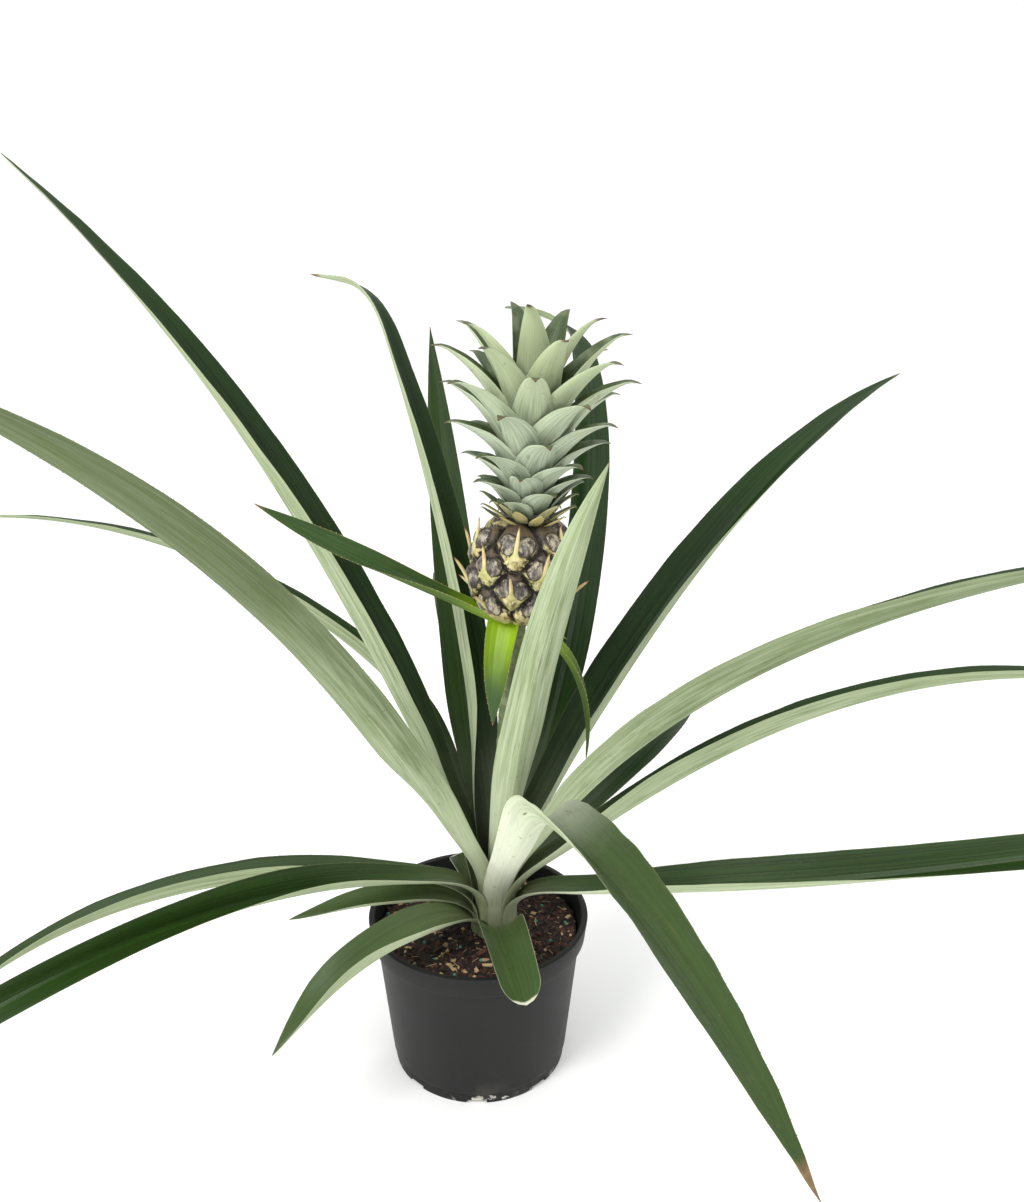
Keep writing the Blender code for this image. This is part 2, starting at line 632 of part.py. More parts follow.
def make_fruit(part, joined):
    """Body, shields and spines in rising spirals, fused into one body."""
    mesh = fruit_body(part)
    lean = radians(SPINE_LEAN)
    for index in range(EYE_COUNT):
        share = blend(EYE_MARGIN, 1.0 - EYE_MARGIN, (index + 0.5) / EYE_COUNT)
        size = fruit_radius(share) / FRUIT_RADIUS
        spot, outward, upward = fruit_spot(share, radians(EYE_FIRST_TURN + EYE_TURN * index))
        across = outward.cross(upward)
        shield = Matrix((upward, across, outward)).transposed().to_4x4()
        shield.translation = spot
        point = upward * cos(lean) + outward * sin(lean)
        spine = Matrix((across.cross(point), across, point)).transposed().to_4x4()
        spine.translation = spot - upward * (EYE_HEIGHT * size * SPINE_DROP)
        joined.objects.link(bpy.data.objects.new("eye", eye_mesh(shield, size)))
        joined.objects.link(bpy.data.objects.new("spine", spine_mesh(spine)))
    fuse("fruit", mesh, joined, "fruit", part, fruit_frame())


def fill_pockets(mesh):
    """Remove every closed shell but the outer one, so pockets between blades become solid."""
    bm = bmesh.new()
    bm.from_mesh(mesh)
    waiting = set(bm.verts)
    shells = []
    while waiting:
        shell = set()
        edge_of_shell = [waiting.pop()]
        while edge_of_shell:
            vert = edge_of_shell.pop()
            shell.add(vert)
            for edge in vert.link_edges:
                other = edge.other_vert(vert)
                if other in waiting:
                    waiting.remove(other)
                    edge_of_shell.append(other)
        shells.append(shell)
    outer = max(shells, key=len)
    inner = [vert for shell in shells if shell is not outer for vert in shell]
    bmesh.ops.delete(bm, geom=inner, context="VERTS")
    bm.to_mesh(mesh)
    bm.free()


def fuse(name, core, joined, kind, part, frame):
    """Union a core with every object of a collection, then stand the result in its place."""
    thing = place(name, core, kind, part)
    boolean(thing, "UNION", joined)
    mesh = evaluated_copy(thing, name)
    fill_pockets(mesh)
    for extra in list(joined.objects):
        bpy.data.objects.remove(extra)
    mesh.transform(frame)
    mesh.shade_smooth()
    mesh.set_sharp_from_angle(angle=radians(SHARP_ANGLE))
    place(name, mesh, kind, part)


# ---- Crown -----------------------------------------------------------------------------------

def crown_leaf(index):
    """Leaf sizes by rule: short spreading leaves below, long upright ones above."""
    share = index / (CROWN_COUNT - 1)
    cut = CROWN_TOP_CUT * ease((share - CROWN_LONGEST) / (1.0 - CROWN_LONGEST))
    return Leaf(
        name="crown_leaf",
        shell=0,
        turn=(CROWN_FIRST_TURN + GOLDEN_ANGLE * index) % 360.0,
        length=blend(*CROWN_LENGTH, ease(share / CROWN_LONGEST)) * (1.0 - cut),
        width=blend(*CROWN_WIDTH, ease(share / CROWN_WIDEST)),
        rise=blend(*CROWN_RISE, share) + CROWN_HEART * share ** CROWN_HEART_POWER,
        droop=blend(*CROWN_DROOP, share),
        bend=CROWN_BEND,
        sweep=0.0,
        roll=0.0,
        vee=CROWN_VEE,
    )


def make_crown(part, joined):
    """A short core with the leaves rooted in it, fused into one body."""
    foot, top = CORE_RADIUS
    profile = [(0.0, CORE_HEIGHT), (top, CORE_HEIGHT), (foot, CORE_BEVEL), (foot, FIT_GAP), (0.0, FIT_GAP)]
    blank = turned("crown_blank", profile, CORE_SEGMENTS, "crown", part)
    core = evaluated_copy(blank, "crown")
    for index in range(CROWN_COUNT):
        leaf = crown_leaf(index)
        share = index / (CROWN_COUNT - 1)
        turn = radians(leaf.turn)
        core_radius = blend(foot, top, share)
        radius = core_radius - CROWN_ROOT
        start = Vector((radius * cos(turn), radius * sin(turn), blend(*CROWN_START, share)))
        mesh = blade_mesh(leaf, start, core_radius, CROWN_ROWS, CROWN_COLUMNS, 0.0)
        blade = bpy.data.objects.new("crown_leaf", mesh)
        joined.objects.link(blade)
        thicken(blade, CROWN_BLADE)
    fuse("crown", core, joined, "crown", part, crown_frame())


# ---- The whole plant -------------------------------------------------------------------------

def main():
    for thing in list(bpy.data.objects):
        bpy.data.objects.remove(thing, do_unlink=True)
    part = bpy.data.collections.new("potted_pineapple_plant")
    cutters = bpy.data.collections.new("cutters")
    joined = bpy.data.collections.new("joined")
    for collection in (part, cutters, joined):
        bpy.context.scene.collection.children.link(collection)
    make_pot(part, cutters)
    make_soil(part)
    make_stem(part)
    make_leaves(part)
    make_stalk(part)
    make_bracts(part)
    make_fruit(part, joined)
    make_crown(part, joined)


main()
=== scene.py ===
import json
from collections import namedtuple
from math import cos, pi, radians, sin, sqrt

import bmesh
import bpy
import numpy as np
from mathutils import Matrix, Vector

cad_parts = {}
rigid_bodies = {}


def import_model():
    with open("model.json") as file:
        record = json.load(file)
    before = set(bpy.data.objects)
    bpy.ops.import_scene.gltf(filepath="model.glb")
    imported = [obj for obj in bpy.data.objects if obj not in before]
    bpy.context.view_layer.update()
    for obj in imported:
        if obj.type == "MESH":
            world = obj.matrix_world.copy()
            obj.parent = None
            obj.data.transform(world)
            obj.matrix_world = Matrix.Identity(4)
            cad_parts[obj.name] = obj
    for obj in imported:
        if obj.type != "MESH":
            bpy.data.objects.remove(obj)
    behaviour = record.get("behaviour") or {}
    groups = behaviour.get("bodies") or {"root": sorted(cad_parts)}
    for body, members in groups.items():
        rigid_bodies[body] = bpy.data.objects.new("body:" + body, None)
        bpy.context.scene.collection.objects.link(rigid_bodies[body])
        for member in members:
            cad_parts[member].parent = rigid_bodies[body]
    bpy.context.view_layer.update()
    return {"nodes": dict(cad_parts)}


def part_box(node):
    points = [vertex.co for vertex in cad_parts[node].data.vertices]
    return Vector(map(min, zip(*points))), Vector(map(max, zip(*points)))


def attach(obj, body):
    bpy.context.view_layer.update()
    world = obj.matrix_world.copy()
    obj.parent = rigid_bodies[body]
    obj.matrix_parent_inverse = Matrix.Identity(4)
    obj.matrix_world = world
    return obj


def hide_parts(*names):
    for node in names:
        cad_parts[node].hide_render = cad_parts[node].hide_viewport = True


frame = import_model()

scene = bpy.context.scene
print("frame:", len(frame["nodes"]), "nodes")


def blend(a, b, t):
    return a + (b - a) * t


def radian(value):
    return value * (pi / 180.0)


def tone(red, green, blue):
    # a colour as a paint chart gives it, 0 to 255, made linear
    def linear(part):
        part /= 255.0
        return part / 12.92 if part <= 0.04045 else ((part + 0.055) / 1.055) ** 2.4
    return (linear(red), linear(green), linear(blue))


class Value:
    # a socket that takes part in Python arithmetic
    def __init__(self, graph, socket):
        self.graph = graph
        self.socket = socket

    def __abs__(self):
        return self.graph.maths("ABSOLUTE", self)


def operator(operation, reflected=False):
    def method(self, other):
        pair = (other, self) if reflected else (self, other)
        return self.graph.maths(operation, *pair)
    return method


for short, operation in (("add", "ADD"), ("sub", "SUBTRACT"), ("mul", "MULTIPLY"),
                         ("truediv", "DIVIDE"), ("pow", "POWER")):
    setattr(Value, f"__{short}__", operator(operation))
    setattr(Value, f"__r{short}__", operator(operation, reflected=True))
Value.__lt__ = operator("LESS_THAN")
Value.__gt__ = operator("GREATER_THAN")


def socketOf(sockets, key):
    # by its number, or by its name among those in use
    if isinstance(key, int):
        return sockets[key]
    return next(s for s in sockets if s.name == key and s.enabled)


class Graph:
    # builds a node tree: maths from expressions, every other node from node()
    def __init__(self, tree):
        self.tree = tree
        tree.nodes.clear()

    def feed(self, socket, value):
        if isinstance(value, Value):
            self.tree.links.new(value.socket, socket)
        elif isinstance(value, list):
            for each in value:
                self.feed(socket, each)
        else:
            if socket.type == "RGBA" and len(value) == 3:
                value = (*value, 1.0)
            socket.default_value = value

    def node(self, kind, inputs=(), output=0, **settings):
        made = self.tree.nodes.new(kind)
        for name, value in settings.items():
            setattr(made, name, value)
        for key, value in dict(inputs).items():
            self.feed(socketOf(made.inputs, key), value)
        return Value(self, socketOf(made.outputs, output))

    def end(self, kind, name, value):
        self.feed(self.tree.nodes.new(kind).inputs[name], value)

    def maths(self, operation, *values):
        return self.node("ShaderNodeMath", enumerate(values), operation=operation)

    def ease(self, value, low=0.0, high=1.0):
        return self.node("ShaderNodeMapRange", {"Value": value, "From Min": low, "From Max": high},
                         interpolation_type="SMOOTHSTEP")

    def vector(self, x, y, z):
        return self.node("ShaderNodeCombineXYZ", enumerate((x, y, z)))

    def parts(self, vector):
        made = self.node("ShaderNodeSeparateXYZ", {0: vector})
        return [Value(self, socket) for socket in made.socket.node.outputs]

    def vectorMaths(self, operation, *values, output="Vector"):
        return self.node("ShaderNodeVectorMath", enumerate(values), output, operation=operation)

    def total(self, first, *others):
        for each in others:
            first = self.vectorMaths("ADD", first, each)
        return first

    def scaled(self, vector, factor):
        return self.node("ShaderNodeVectorMath", {"Vector": vector, "Scale": factor}, operation="SCALE")

    def stretched(self, vector, x, y, z):
        return self.vectorMaths("MULTIPLY", vector, (x, y, z))

    def noise(self, vector, scale, detail=2.0, roughness=0.5):
        # 0 to 1, mostly near a half
        return self.node("ShaderNodeTexNoise", {"Vector": vector, "Scale": scale, "Detail": detail,
                                                "Roughness": roughness})

    def place(self):
        return self.node("ShaderNodeTexCoord", output="Object")

    def attribute(self, name):
        return self.node("ShaderNodeAttribute", output="Fac", attribute_name=name)

    def mix(self, share, first, second):
        return self.node("ShaderNodeMix", {0: share, 6: first, 7: second}, 2, data_type="RGBA",
                         clamp_factor=True)

    def coats(self, colour, *coats):
        # lays more colours over the first, each by its own share
        for share, coat in coats:
            colour = self.mix(share, colour, coat)
        return colour

    def bump(self, strength, depth, height):
        return self.node("ShaderNodeBump", {"Strength": strength, "Distance": depth, "Height": height})

    def random(self, low, high, seed, **more):
        # a number, or a vector where low and high are vectors
        kind = "FLOAT_VECTOR" if isinstance(low, tuple) else "FLOAT"
        return self.node("FunctionNodeRandomValue", {"Min": low, "Max": high, "Seed": seed, **more},
                         "Value", data_type=kind)

    def stored(self, name, kind="FLOAT"):
        return self.node("GeometryNodeInputNamedAttribute", {"Name": name}, "Attribute", data_type=kind)

    def store(self, geometry, name, value, kind="FLOAT", domain="POINT"):
        return self.node("GeometryNodeStoreNamedAttribute",
                         {"Geometry": geometry, "Name": name, "Value": value},
                         data_type=kind, domain=domain)


def function(operation):
    return lambda graph, *values: graph.maths(operation, *values)


for short, operation in (("maximum", "MAXIMUM"), ("minimum", "MINIMUM"), ("root", "SQRT"),
                         ("cosine", "COSINE"), ("sine", "SINE")):
    setattr(Graph, short, function(operation))


def finish(name, paint, **fixed):
    # a material: paint(graph) returns what varies, fixed holds what is the same all over
    made = bpy.data.materials.new(name)
    made.use_nodes = True
    graph = Graph(made.node_tree)
    shader = graph.node("ShaderNodeBsdfPrincipled")
    sockets = shader.socket.node.inputs
    for key, value in fixed.items():
        graph.feed(sockets[key.replace("_", " ")], value)
    for key, value in paint(graph).items():
        graph.feed(sockets[key], value)
    graph.end("ShaderNodeOutputMaterial", "Surface", shader)
    return made


socketKinds = {int: "Int", float: "Float", tuple: "Vector"}


def geometryTree(name, inputs):
    # a geometry tree with named inputs; returns the graph and its input values
    tree = bpy.data.node_groups.new(name, "GeometryNodeTree")
    graph = Graph(tree)
    tree.interface.new_socket("Geometry", in_out="OUTPUT", socket_type="NodeSocketGeometry")
    for key, value in inputs.items():
        isThing = isinstance(value, str)      # an object or a material, given when the tree is run
        kind = value if isThing else socketKinds[type(value)]
        socket = tree.interface.new_socket(key, in_out="INPUT", socket_type="NodeSocket" + kind)
        if not isThing:
            socket.default_value = value
    entry = tree.nodes.new("NodeGroupInput")
    return graph, {key: Value(graph, entry.outputs[key]) for key in inputs}


def endTree(graph, geometry, material):
    # Realize Instances and Set Material close every tree
    geometry = graph.node("GeometryNodeRealizeInstances", {"Geometry": geometry})
    geometry = graph.node("GeometryNodeSetMaterial", {"Geometry": geometry, "Material": material})
    graph.end("NodeGroupOutput", "Geometry", geometry)
    return graph.tree


def plainMesh(name, thing, material):
    # what an object's modifiers make of it; the object itself goes
    bpy.context.view_layer.update()
    mesh = bpy.data.meshes.new_from_object(thing.evaluated_get(bpy.context.evaluated_depsgraph_get()))
    mesh.name = name
    bpy.data.objects.remove(thing)
    mesh.materials.clear()
    mesh.materials.append(material)
    return mesh


def addObject(name, mesh):
    made = bpy.data.objects.new(name, mesh)
    scene.collection.objects.link(made)
    return made


def grow(name, tree, values):
    # runs a tree and keeps the result as a plain mesh
    thing = addObject(name, bpy.data.meshes.new(name))
    nodes = thing.modifiers.new("Grow", "NODES")
    nodes.node_group = tree
    for item in tree.interface.items_tree:
        if item.in_out == "INPUT" and item.name in values:
            nodes[item.identifier] = values[item.name]
    mesh = plainMesh(name, thing, values["Material"])
    mesh.polygons.foreach_set("material_index", [0] * len(mesh.polygons))
    return mesh


def piece(name, mesh, node):
    # a finished piece of the plant or the pot, which stands for its solid
    made = addObject(name, mesh)
    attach(made, "root")
    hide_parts(node)


def meshFrom(name, points, faces, values, material):
    # a smooth mesh that carries some numbers on its points
    mesh = bpy.data.meshes.new(name)
    mesh.from_pydata(points.tolist(), [], faces)
    for key, value in values.items():
        layer = mesh.attributes.new(key, "FLOAT", "POINT")
        layer.data.foreach_set("value", value.astype(np.float32))
    mesh.materials.append(material)
    mesh.shade_smooth()
    return mesh


def tubeFaces(rings, around):
    # quads between rings of points that run upwards
    corners = ((0, 0), (0, 1), (1, 1), (1, 0))
    return [tuple((ring + up) * around + (k + on) % around for up, on in corners)
            for ring in range(rings - 1) for k in range(around)]


def turned(name, profile, segments):
    # a closed solid of revolution; the outside of the section runs down
    bm = bmesh.new()
    rings = []
    for radius, height in profile:
        if radius < 1e-6:
            rings.append([bm.verts.new((0.0, 0.0, height))] * segments)
        else:
            rings.append([bm.verts.new((radius * cos(2.0 * pi * k / segments),
                                        radius * sin(2.0 * pi * k / segments), height))
                          for k in range(segments)])
    for upper, lower in zip(rings, rings[1:]):
        for k in range(segments):
            after = (k + 1) % segments
            corners = (upper[k], lower[k], lower[after], upper[after])
            bm.faces.new(list(dict.fromkeys(corners)))
    return bmeshDone(bm, name)


def bmeshDone(bm, name):
    mesh = bpy.data.meshes.new(name)
    bm.to_mesh(mesh)
    bm.free()
    return mesh


leafLook = {
    "upper": (tone(9, 32, 0), tone(34, 68, 8)),        # dark face, between the veins and on them
    "upperLight": tone(106, 130, 66),
    "under": (tone(72, 88, 52), tone(106, 120, 82)),   # scurfy face of a greener leaf
    "underPale": (tone(150, 169, 120), tone(208, 219, 184)),
    "blotch": tone(96, 114, 62),
    "mealy": (tone(196, 206, 172), tone(238, 242, 220)),
    "mealyEnd": (0.02, 0.11, 0.10),      # metres along the leaf where the silvery bloom thins out
    "soiledAndShaded": (tone(62, 70, 40), tone(124, 132, 92)),      # the clasping foot: dirt, and painted shade where the bases crowd together
    "scar": tone(78, 86, 40),
    "speck": tone(84, 92, 48),
    "edge": tone(138, 140, 92),
    "dry": (tone(84, 66, 46), tone(150, 126, 88)),
    "cut": tone(206, 206, 182),
    "tooth": tone(112, 118, 72),
    "veins": 46.0,                 # vein lines across the leaf
    "gloss": 0.44,
    "grain": 0.35,
    "grainDepth": 0.0006,
}


def sides(phase):
    # phase runs once round a blade's section: -1 to 1 across it, and 1 on the underside
    return abs(phase * 2.0 - 1.0) * 2.0 - 1.0, phase > 0.5


def bladePattern(g):
    # metres along, -1 to 1 across, underside, a noise drawn out along the blade, and the place
    along, phase = g.parts(g.node("ShaderNodeUVMap", uv_map="UVMap"))[:2]
    across, under = sides(phase)

    def grain(alongScale, acrossScale, shift, detail=2.0, roughness=0.5):
        where = g.vector(along * alongScale, across * acrossScale, shift)
        return g.noise(where, 1.0, detail, roughness)
    return along, across, under, grain, g.place()


def leafPaint(g):
    look = leafLook
    along, across, under, grain, place = bladePattern(g)
    share, tint, wear, pale, bloomy, dryness, cut = [
        g.attribute(name) for name in ("share", "tint", "wear", "pale", "bloom", "dry", "cut")]
    patch, fine = g.noise(place, 28.0, 3.0), g.noise(place, 420.0)
    lines, broad = grain(5.0, look["veins"], tint * 9.0, 2.0, 0.6), grain(9.0, 5.0, tint * 5.0)
    streak = grain(16.0, 14.0, tint * 6.0 + wear, 3.0, 0.6)
    cloud = grain(22.0, 6.0, tint * 3.0, 4.0, 0.65)
    shift = patch - 0.5      # makes the ends of every zone uneven
    vein = g.ease(lines, 0.35, 0.65)
    upper = g.coats(g.mix(vein * 0.75 + g.ease(broad, 0.45, 0.8) * 0.4, *look["upper"]),
                    (tint * 0.8, look["upperLight"]))
    mottle = g.ease(lines, 0.3, 0.7) * 0.45 + g.ease(streak, 0.34, 0.68) * 0.55
    pale = g.maximum(pale, (1.0 - g.ease(along + shift * 0.1, 0.08, 0.36)) * 0.7)
    blotch = g.ease(cloud, 0.44, 0.66) * g.ease(1.0 - abs(across), 0.05, 0.6)
    lower = g.coats(g.mix(mottle, *look["under"]), (pale, g.mix(mottle, *look["underPale"])),
                    (blotch * (0.7 - pale * 0.25), look["blotch"]))
    low, high, more = look["mealyEnd"]
    bloom = 1.0 - g.ease(along + shift * 0.05, low, high + bloomy * more)
    bloom = bloom * blend(bloomy, 0.45 + pale * 0.45, under)
    # darkening at each leaf's foot: partly dirt, partly painted shade between the crowded leaf bases
    soiledAndShaded = 1.0 - g.ease(along + shift * 0.04, -0.008, 0.050)
    scar = g.ease(grain(34.0, 11.0, tint * 7.0, 3.0, 0.6), 0.64, 0.72) * wear
    speck = g.ease(g.noise(place, 260.0), 0.64, 0.76) * g.ease(patch, 0.45, 0.6)
    edge = g.ease(abs(across) + cut * 0.02, 0.94, 0.99)
    dry = g.ease(share + shift * 0.05 + dryness, 0.990, 1.005)
    trim = cut * g.ease(share + abs(across) * 0.03 + (fine - 0.5) * 0.02, 0.978, 0.996)
    colour = g.coats(
        g.mix(under, upper, lower),
        (bloom, g.mix(g.ease(pale, 0.8, 1.0), *look["mealy"])),
        (soiledAndShaded * (0.60 + lines * 0.5), g.mix(vein, *look["soiledAndShaded"])),
        (scar * 0.8, look["scar"]),
        (speck * (0.15 + wear * 0.3), look["speck"]),
        (edge * (0.6 + cut * 0.3), g.mix(cut, look["edge"], look["cut"])),
        (dry, g.mix(fine, *look["dry"])),
        (trim, look["cut"]),
        (g.attribute("tooth"), look["tooth"]))
    height = lines * 0.7 + fine * 0.3 + scar * 0.5
    rough = look["gloss"] + under * 0.22 + bloom * 0.15 + dry * 0.2 + (fine - 0.5) * 0.2
    return {"Base Color": colour, "Roughness": rough,
            "Normal": g.bump(look["grain"], look["grainDepth"], height)}


bladeForm = {
    "claspAngle": 68.0,      # half the arc that a leaf base wraps, degrees
    "swellShare": 0.35,      # full width this far along
    "tipFold": 18.0,         # fold left at the tip
    "openingStart": 0.4,
    "creaseSpan": 0.14,
    "curlSpan": 0.3,         # share of the length in which a leaf turns aside
    "cutStart": 0.86,        # a cut leaf is rounded off from here on
    "footSlope": 0.05,       # how far a leaf's foot moves outwards as it runs down the stem
    "pullSpan": 0.065,       # metres along, over which a base drawn in to the stem comes back out
    "footFlare": 0.12,       # width that it gains on the way
    "freeStart": 0.030,      # metres along, where the arc begins to turn into a fold
    "freeSpan": 0.080,
    "sheathRise": 86.0,
    "tipWidth": 0.0004,
    "rowPower": 1.1,         # rows stand closer together near the base
    "waves": (26.0, 0.8),    # how close they follow each other, along and across
    "footTaper": 0.003,      # metres in which the thickness comes in at the foot
    "tipTaper": (0.006, 0.0006),     # and goes at a tip, and at a cut
    "toothLean": 0.8,        # how far the spines point forwards
    "toothShares": (0.12, 0.96),     # of the length, between which the margins are toothed
    "toothChance": (0.6, 1.15),      # least and greatest size
    "toothWidth": 0.42,      # of a spine's length
    "toothSink": 0.25,
}
bladeInputs = {
    "Start": (0.0, 0.0, 0.0), "Base Radius": 0.01, "Turn": 0.0, "Length": 0.3, "Width": 0.03,
    "Rise": 60.0, "Droop": 30.0, "Bend": 1.0, "Sweep": 0.0, "Roll": 0.0, "Fold": 40.0,
    "Narrow": 0.55, "Keel": 0.25, "Taper": 3.0, "Sheath": 0.045, "Crease At": 0.5, "Crease": 0.0,
    "Cut": 0.0, "Thickness": 0.0014, "Wave": 0.001, "Seed": 0.0, "Rows": 96, "Columns": 12,
    "Foot": 0.0, "Foot Rows": 1.0, "Pull": 0.0, "Roll Span": 0.1, "Curl At": 0.9, "Curl": 0.0,
    "Tint": 0.0, "Wear": 0.0, "Pale": 0.5, "Bloom": 0.15, "Dry": 0.0,
    "Tooth": 0.0006, "Tooth Spacing": 0.006, "Material": "Material",
}


def bladeHeading(g, p, share):
    # direction of the midrib at a share of the length, and its turn
    b = bladeForm
    rise = p["Rise"] - p["Droop"] * share ** p["Bend"]
    rise = rise - p["Crease"] * g.ease((share - p["Crease At"]) / b["creaseSpan"] + 0.5)
    upright = g.maximum(1.0 - share * p["Length"] / p["Sheath"], 0.0)
    rise = radian(rise + (b["sheathRise"] - p["Rise"]) * upright * upright)
    curl = p["Curl"] * g.ease((share - p["Curl At"]) / b["curlSpan"] + 0.5)
    turn = radian(p["Turn"] + p["Sweep"] * share + curl)
    flat = g.cosine(rise)
    return g.vector(flat * g.cosine(turn), flat * g.sine(turn), g.sine(rise)), turn


def bladeShape(g, geometry, p, rows, columns, leaf, row, column):
    # carries a flat grid along the midrib and folds it round a thin section, top face first
    b = bladeForm
    footRows, bladeRows = p["Foot Rows"], rows - p["Foot Rows"]

    def shareAt(row):
        return (g.maximum(row - footRows, 0.0) / bladeRows) ** b["rowPower"]
    low = g.maximum(footRows - row, 0.0) / g.maximum(footRows, 1.0)
    share, last = shareAt(row), shareAt(row - 1.0)
    step = bladeHeading(g, p, (share + last) * 0.5)[0]
    midrib = g.node("GeometryNodeAccumulateField", {
        0: g.scaled(step, (share - last) * p["Length"]),
        "Group ID": leaf * (columns * 2.0 + 1.0) + column}, "Leading", data_type="FLOAT_VECTOR")
    along, turn = bladeHeading(g, p, share)
    side = g.vector(g.sine(turn), 0.0 - g.cosine(turn), 0.0)
    up = g.vectorMaths("CROSS_PRODUCT", side, along)
    metres = share * p["Length"]
    roll = radian(p["Roll"]) * g.ease((metres - b["freeStart"]) / p["Roll Span"])
    rollCos, rollSin = g.cosine(roll), g.sine(roll)
    side, up = (g.total(g.scaled(side, rollCos), g.scaled(up, rollSin)),
                g.vectorMaths("SUBTRACT", g.scaled(up, rollCos), g.scaled(side, rollSin)))
    # the blade's outline
    bent, under = sides(column / (columns * 2.0))
    across = g.sine(bent * (pi / 2.0))
    swell = p["Narrow"] + (1.0 - p["Narrow"]) * g.ease(share / b["swellShare"])
    isCut = g.maths("GREATER_THAN", p["Cut"], 0.0)
    point = 1.0 - share ** p["Taper"]
    rounded = g.maximum(share - b["cutStart"], 0.0) / (1.0 - b["cutStart"])
    rounded = g.root(1.0 - rounded * rounded)
    taper = blend(point, (1.0 + (p["Cut"] - 1.0) * share * share) * rounded, isCut)
    half = g.maximum(p["Width"] * swell * taper, b["tipWidth"]) * 0.5 * (1.0 + low * b["footFlare"])
    # an arc round the stem, then a fold
    down = p["Foot"] * low
    arc = g.minimum(half / (p["Base Radius"] + down * b["footSlope"]), radians(b["claspAngle"]))
    opening = g.ease((share - b["openingStart"]) / (1.0 - b["openingStart"]))
    fold = radian(blend(p["Fold"], b["tipFold"], opening))
    free = g.ease((metres - b["freeStart"]) / b["freeSpan"])
    k = p["Keel"]
    span = g.root(k * k + 1.0) - k
    reach = g.root(across * across + k * k)
    bow = across * arc
    foldCos, foldSin = g.cosine(fold), g.sine(fold)
    sideways = blend(half / arc * g.sine(bow), half * across * foldCos, free)
    upward = blend(half / arc * (1.0 - g.cosine(bow)), half * foldSin * ((reach - k) / span), free)
    slopeSide = blend(half * g.cosine(bow), half * foldCos, free)
    slopeUp = blend(half * g.sine(bow), half * foldSin * across / reach / span, free)
    size = g.root(slopeSide * slopeSide + slopeUp * slopeUp)
    # gentle waves of the margins
    margin = across * across
    drift = g.noise(g.vector(metres * b["waves"][0], across * b["waves"][1], p["Seed"]), 1.0)
    upward = upward + (drift - 0.5) * p["Wave"] * margin * free * 2.0
    # thickness: none at the margins, foot and end
    ends = g.minimum((metres + p["Foot"] - down) / b["footTaper"], 1.0) * g.minimum(
        (1.0 - share) * p["Length"] / blend(*b["tipTaper"], isCut), 1.0)
    body = g.root(g.maximum((1.0 - margin) * ends, 0.0))
    lift = p["Thickness"] * 0.5 * body * (1.0 - under * 2.0)
    sideways = sideways - slopeUp / size * lift
    upward = upward + slopeSide / size * lift
    # the base is drawn in to the stem and runs down it
    out = down * b["footSlope"] - p["Pull"] * (1.0 - g.ease(metres / b["pullSpan"]))
    firstTurn = radian(p["Turn"])
    foot = g.vector(out * g.cosine(firstTurn), out * g.sine(firstTurn), 0.0 - down)
    position = g.total(p["Start"], foot, midrib, g.scaled(side, sideways), g.scaled(up, upward))
    outward = g.total(g.scaled(side, slopeSide / size * across), g.scaled(up, slopeUp / size * across))
    stored = {"share": share, "across": across, "cut": isCut, "length": p["Length"]}
    stored.update((name.lower(), p[name]) for name in ("Tint", "Wear", "Pale", "Bloom", "Dry"))
    for name, value in stored.items():
        geometry = g.store(geometry, name, value)
    toothWay = g.total(outward, g.scaled(along, b["toothLean"]))
    geometry = g.store(geometry, "toothWay", toothWay, "FLOAT_VECTOR")
    geometry = placed(g, geometry, position)
    flat = g.parts(g.stored("UVMap", "FLOAT_VECTOR"))
    rowNow = flat[0] * rows
    uvFoot = g.minimum(rowNow - footRows, 0.0) / g.maximum(footRows, 1.0) * p["Foot"]
    uv = g.vector(shareAt(rowNow) * g.stored("length") + uvFoot, flat[1], 0.0)
    geometry = g.store(geometry, "UVMap", uv, "FLOAT2", "CORNER")
    return g.node("GeometryNodeMergeByDistance", {"Geometry": geometry, "Distance": 1e-6})


def placed(g, geometry, position):
    # stored first, because the new place is worked out from the old one
    geometry = g.store(geometry, "spot", position, "FLOAT_VECTOR")
    return g.node("GeometryNodeSetPosition",
                  {"Geometry": geometry, "Position": g.stored("spot", "FLOAT_VECTOR")})


def flatGrid(g, rows, columns):
    # rows run along the blade, columns once round its section
    grid = g.node("GeometryNodeMeshGrid", {
        "Size X": 1.0, "Size Y": 1.0, "Vertices X": rows + 1.0, "Vertices Y": columns * 2.0 + 1.0})
    return g.store(grid, "UVMap", Value(g, grid.socket.node.outputs["UV Map"]), "FLOAT2", "CORNER")


def gridPlace(g, rows, columns):
    # leaf, row and column of each point, from its index
    index = g.node("GeometryNodeInputIndex")
    line = columns * 2.0 + 1.0
    sheet = line * (rows + 1.0)
    leaf = g.maths("FLOOR", (index + 0.5) / sheet)
    rest = index - leaf * sheet
    row = g.maths("FLOOR", (rest + 0.5) / line)
    return leaf, row, rest - row * line


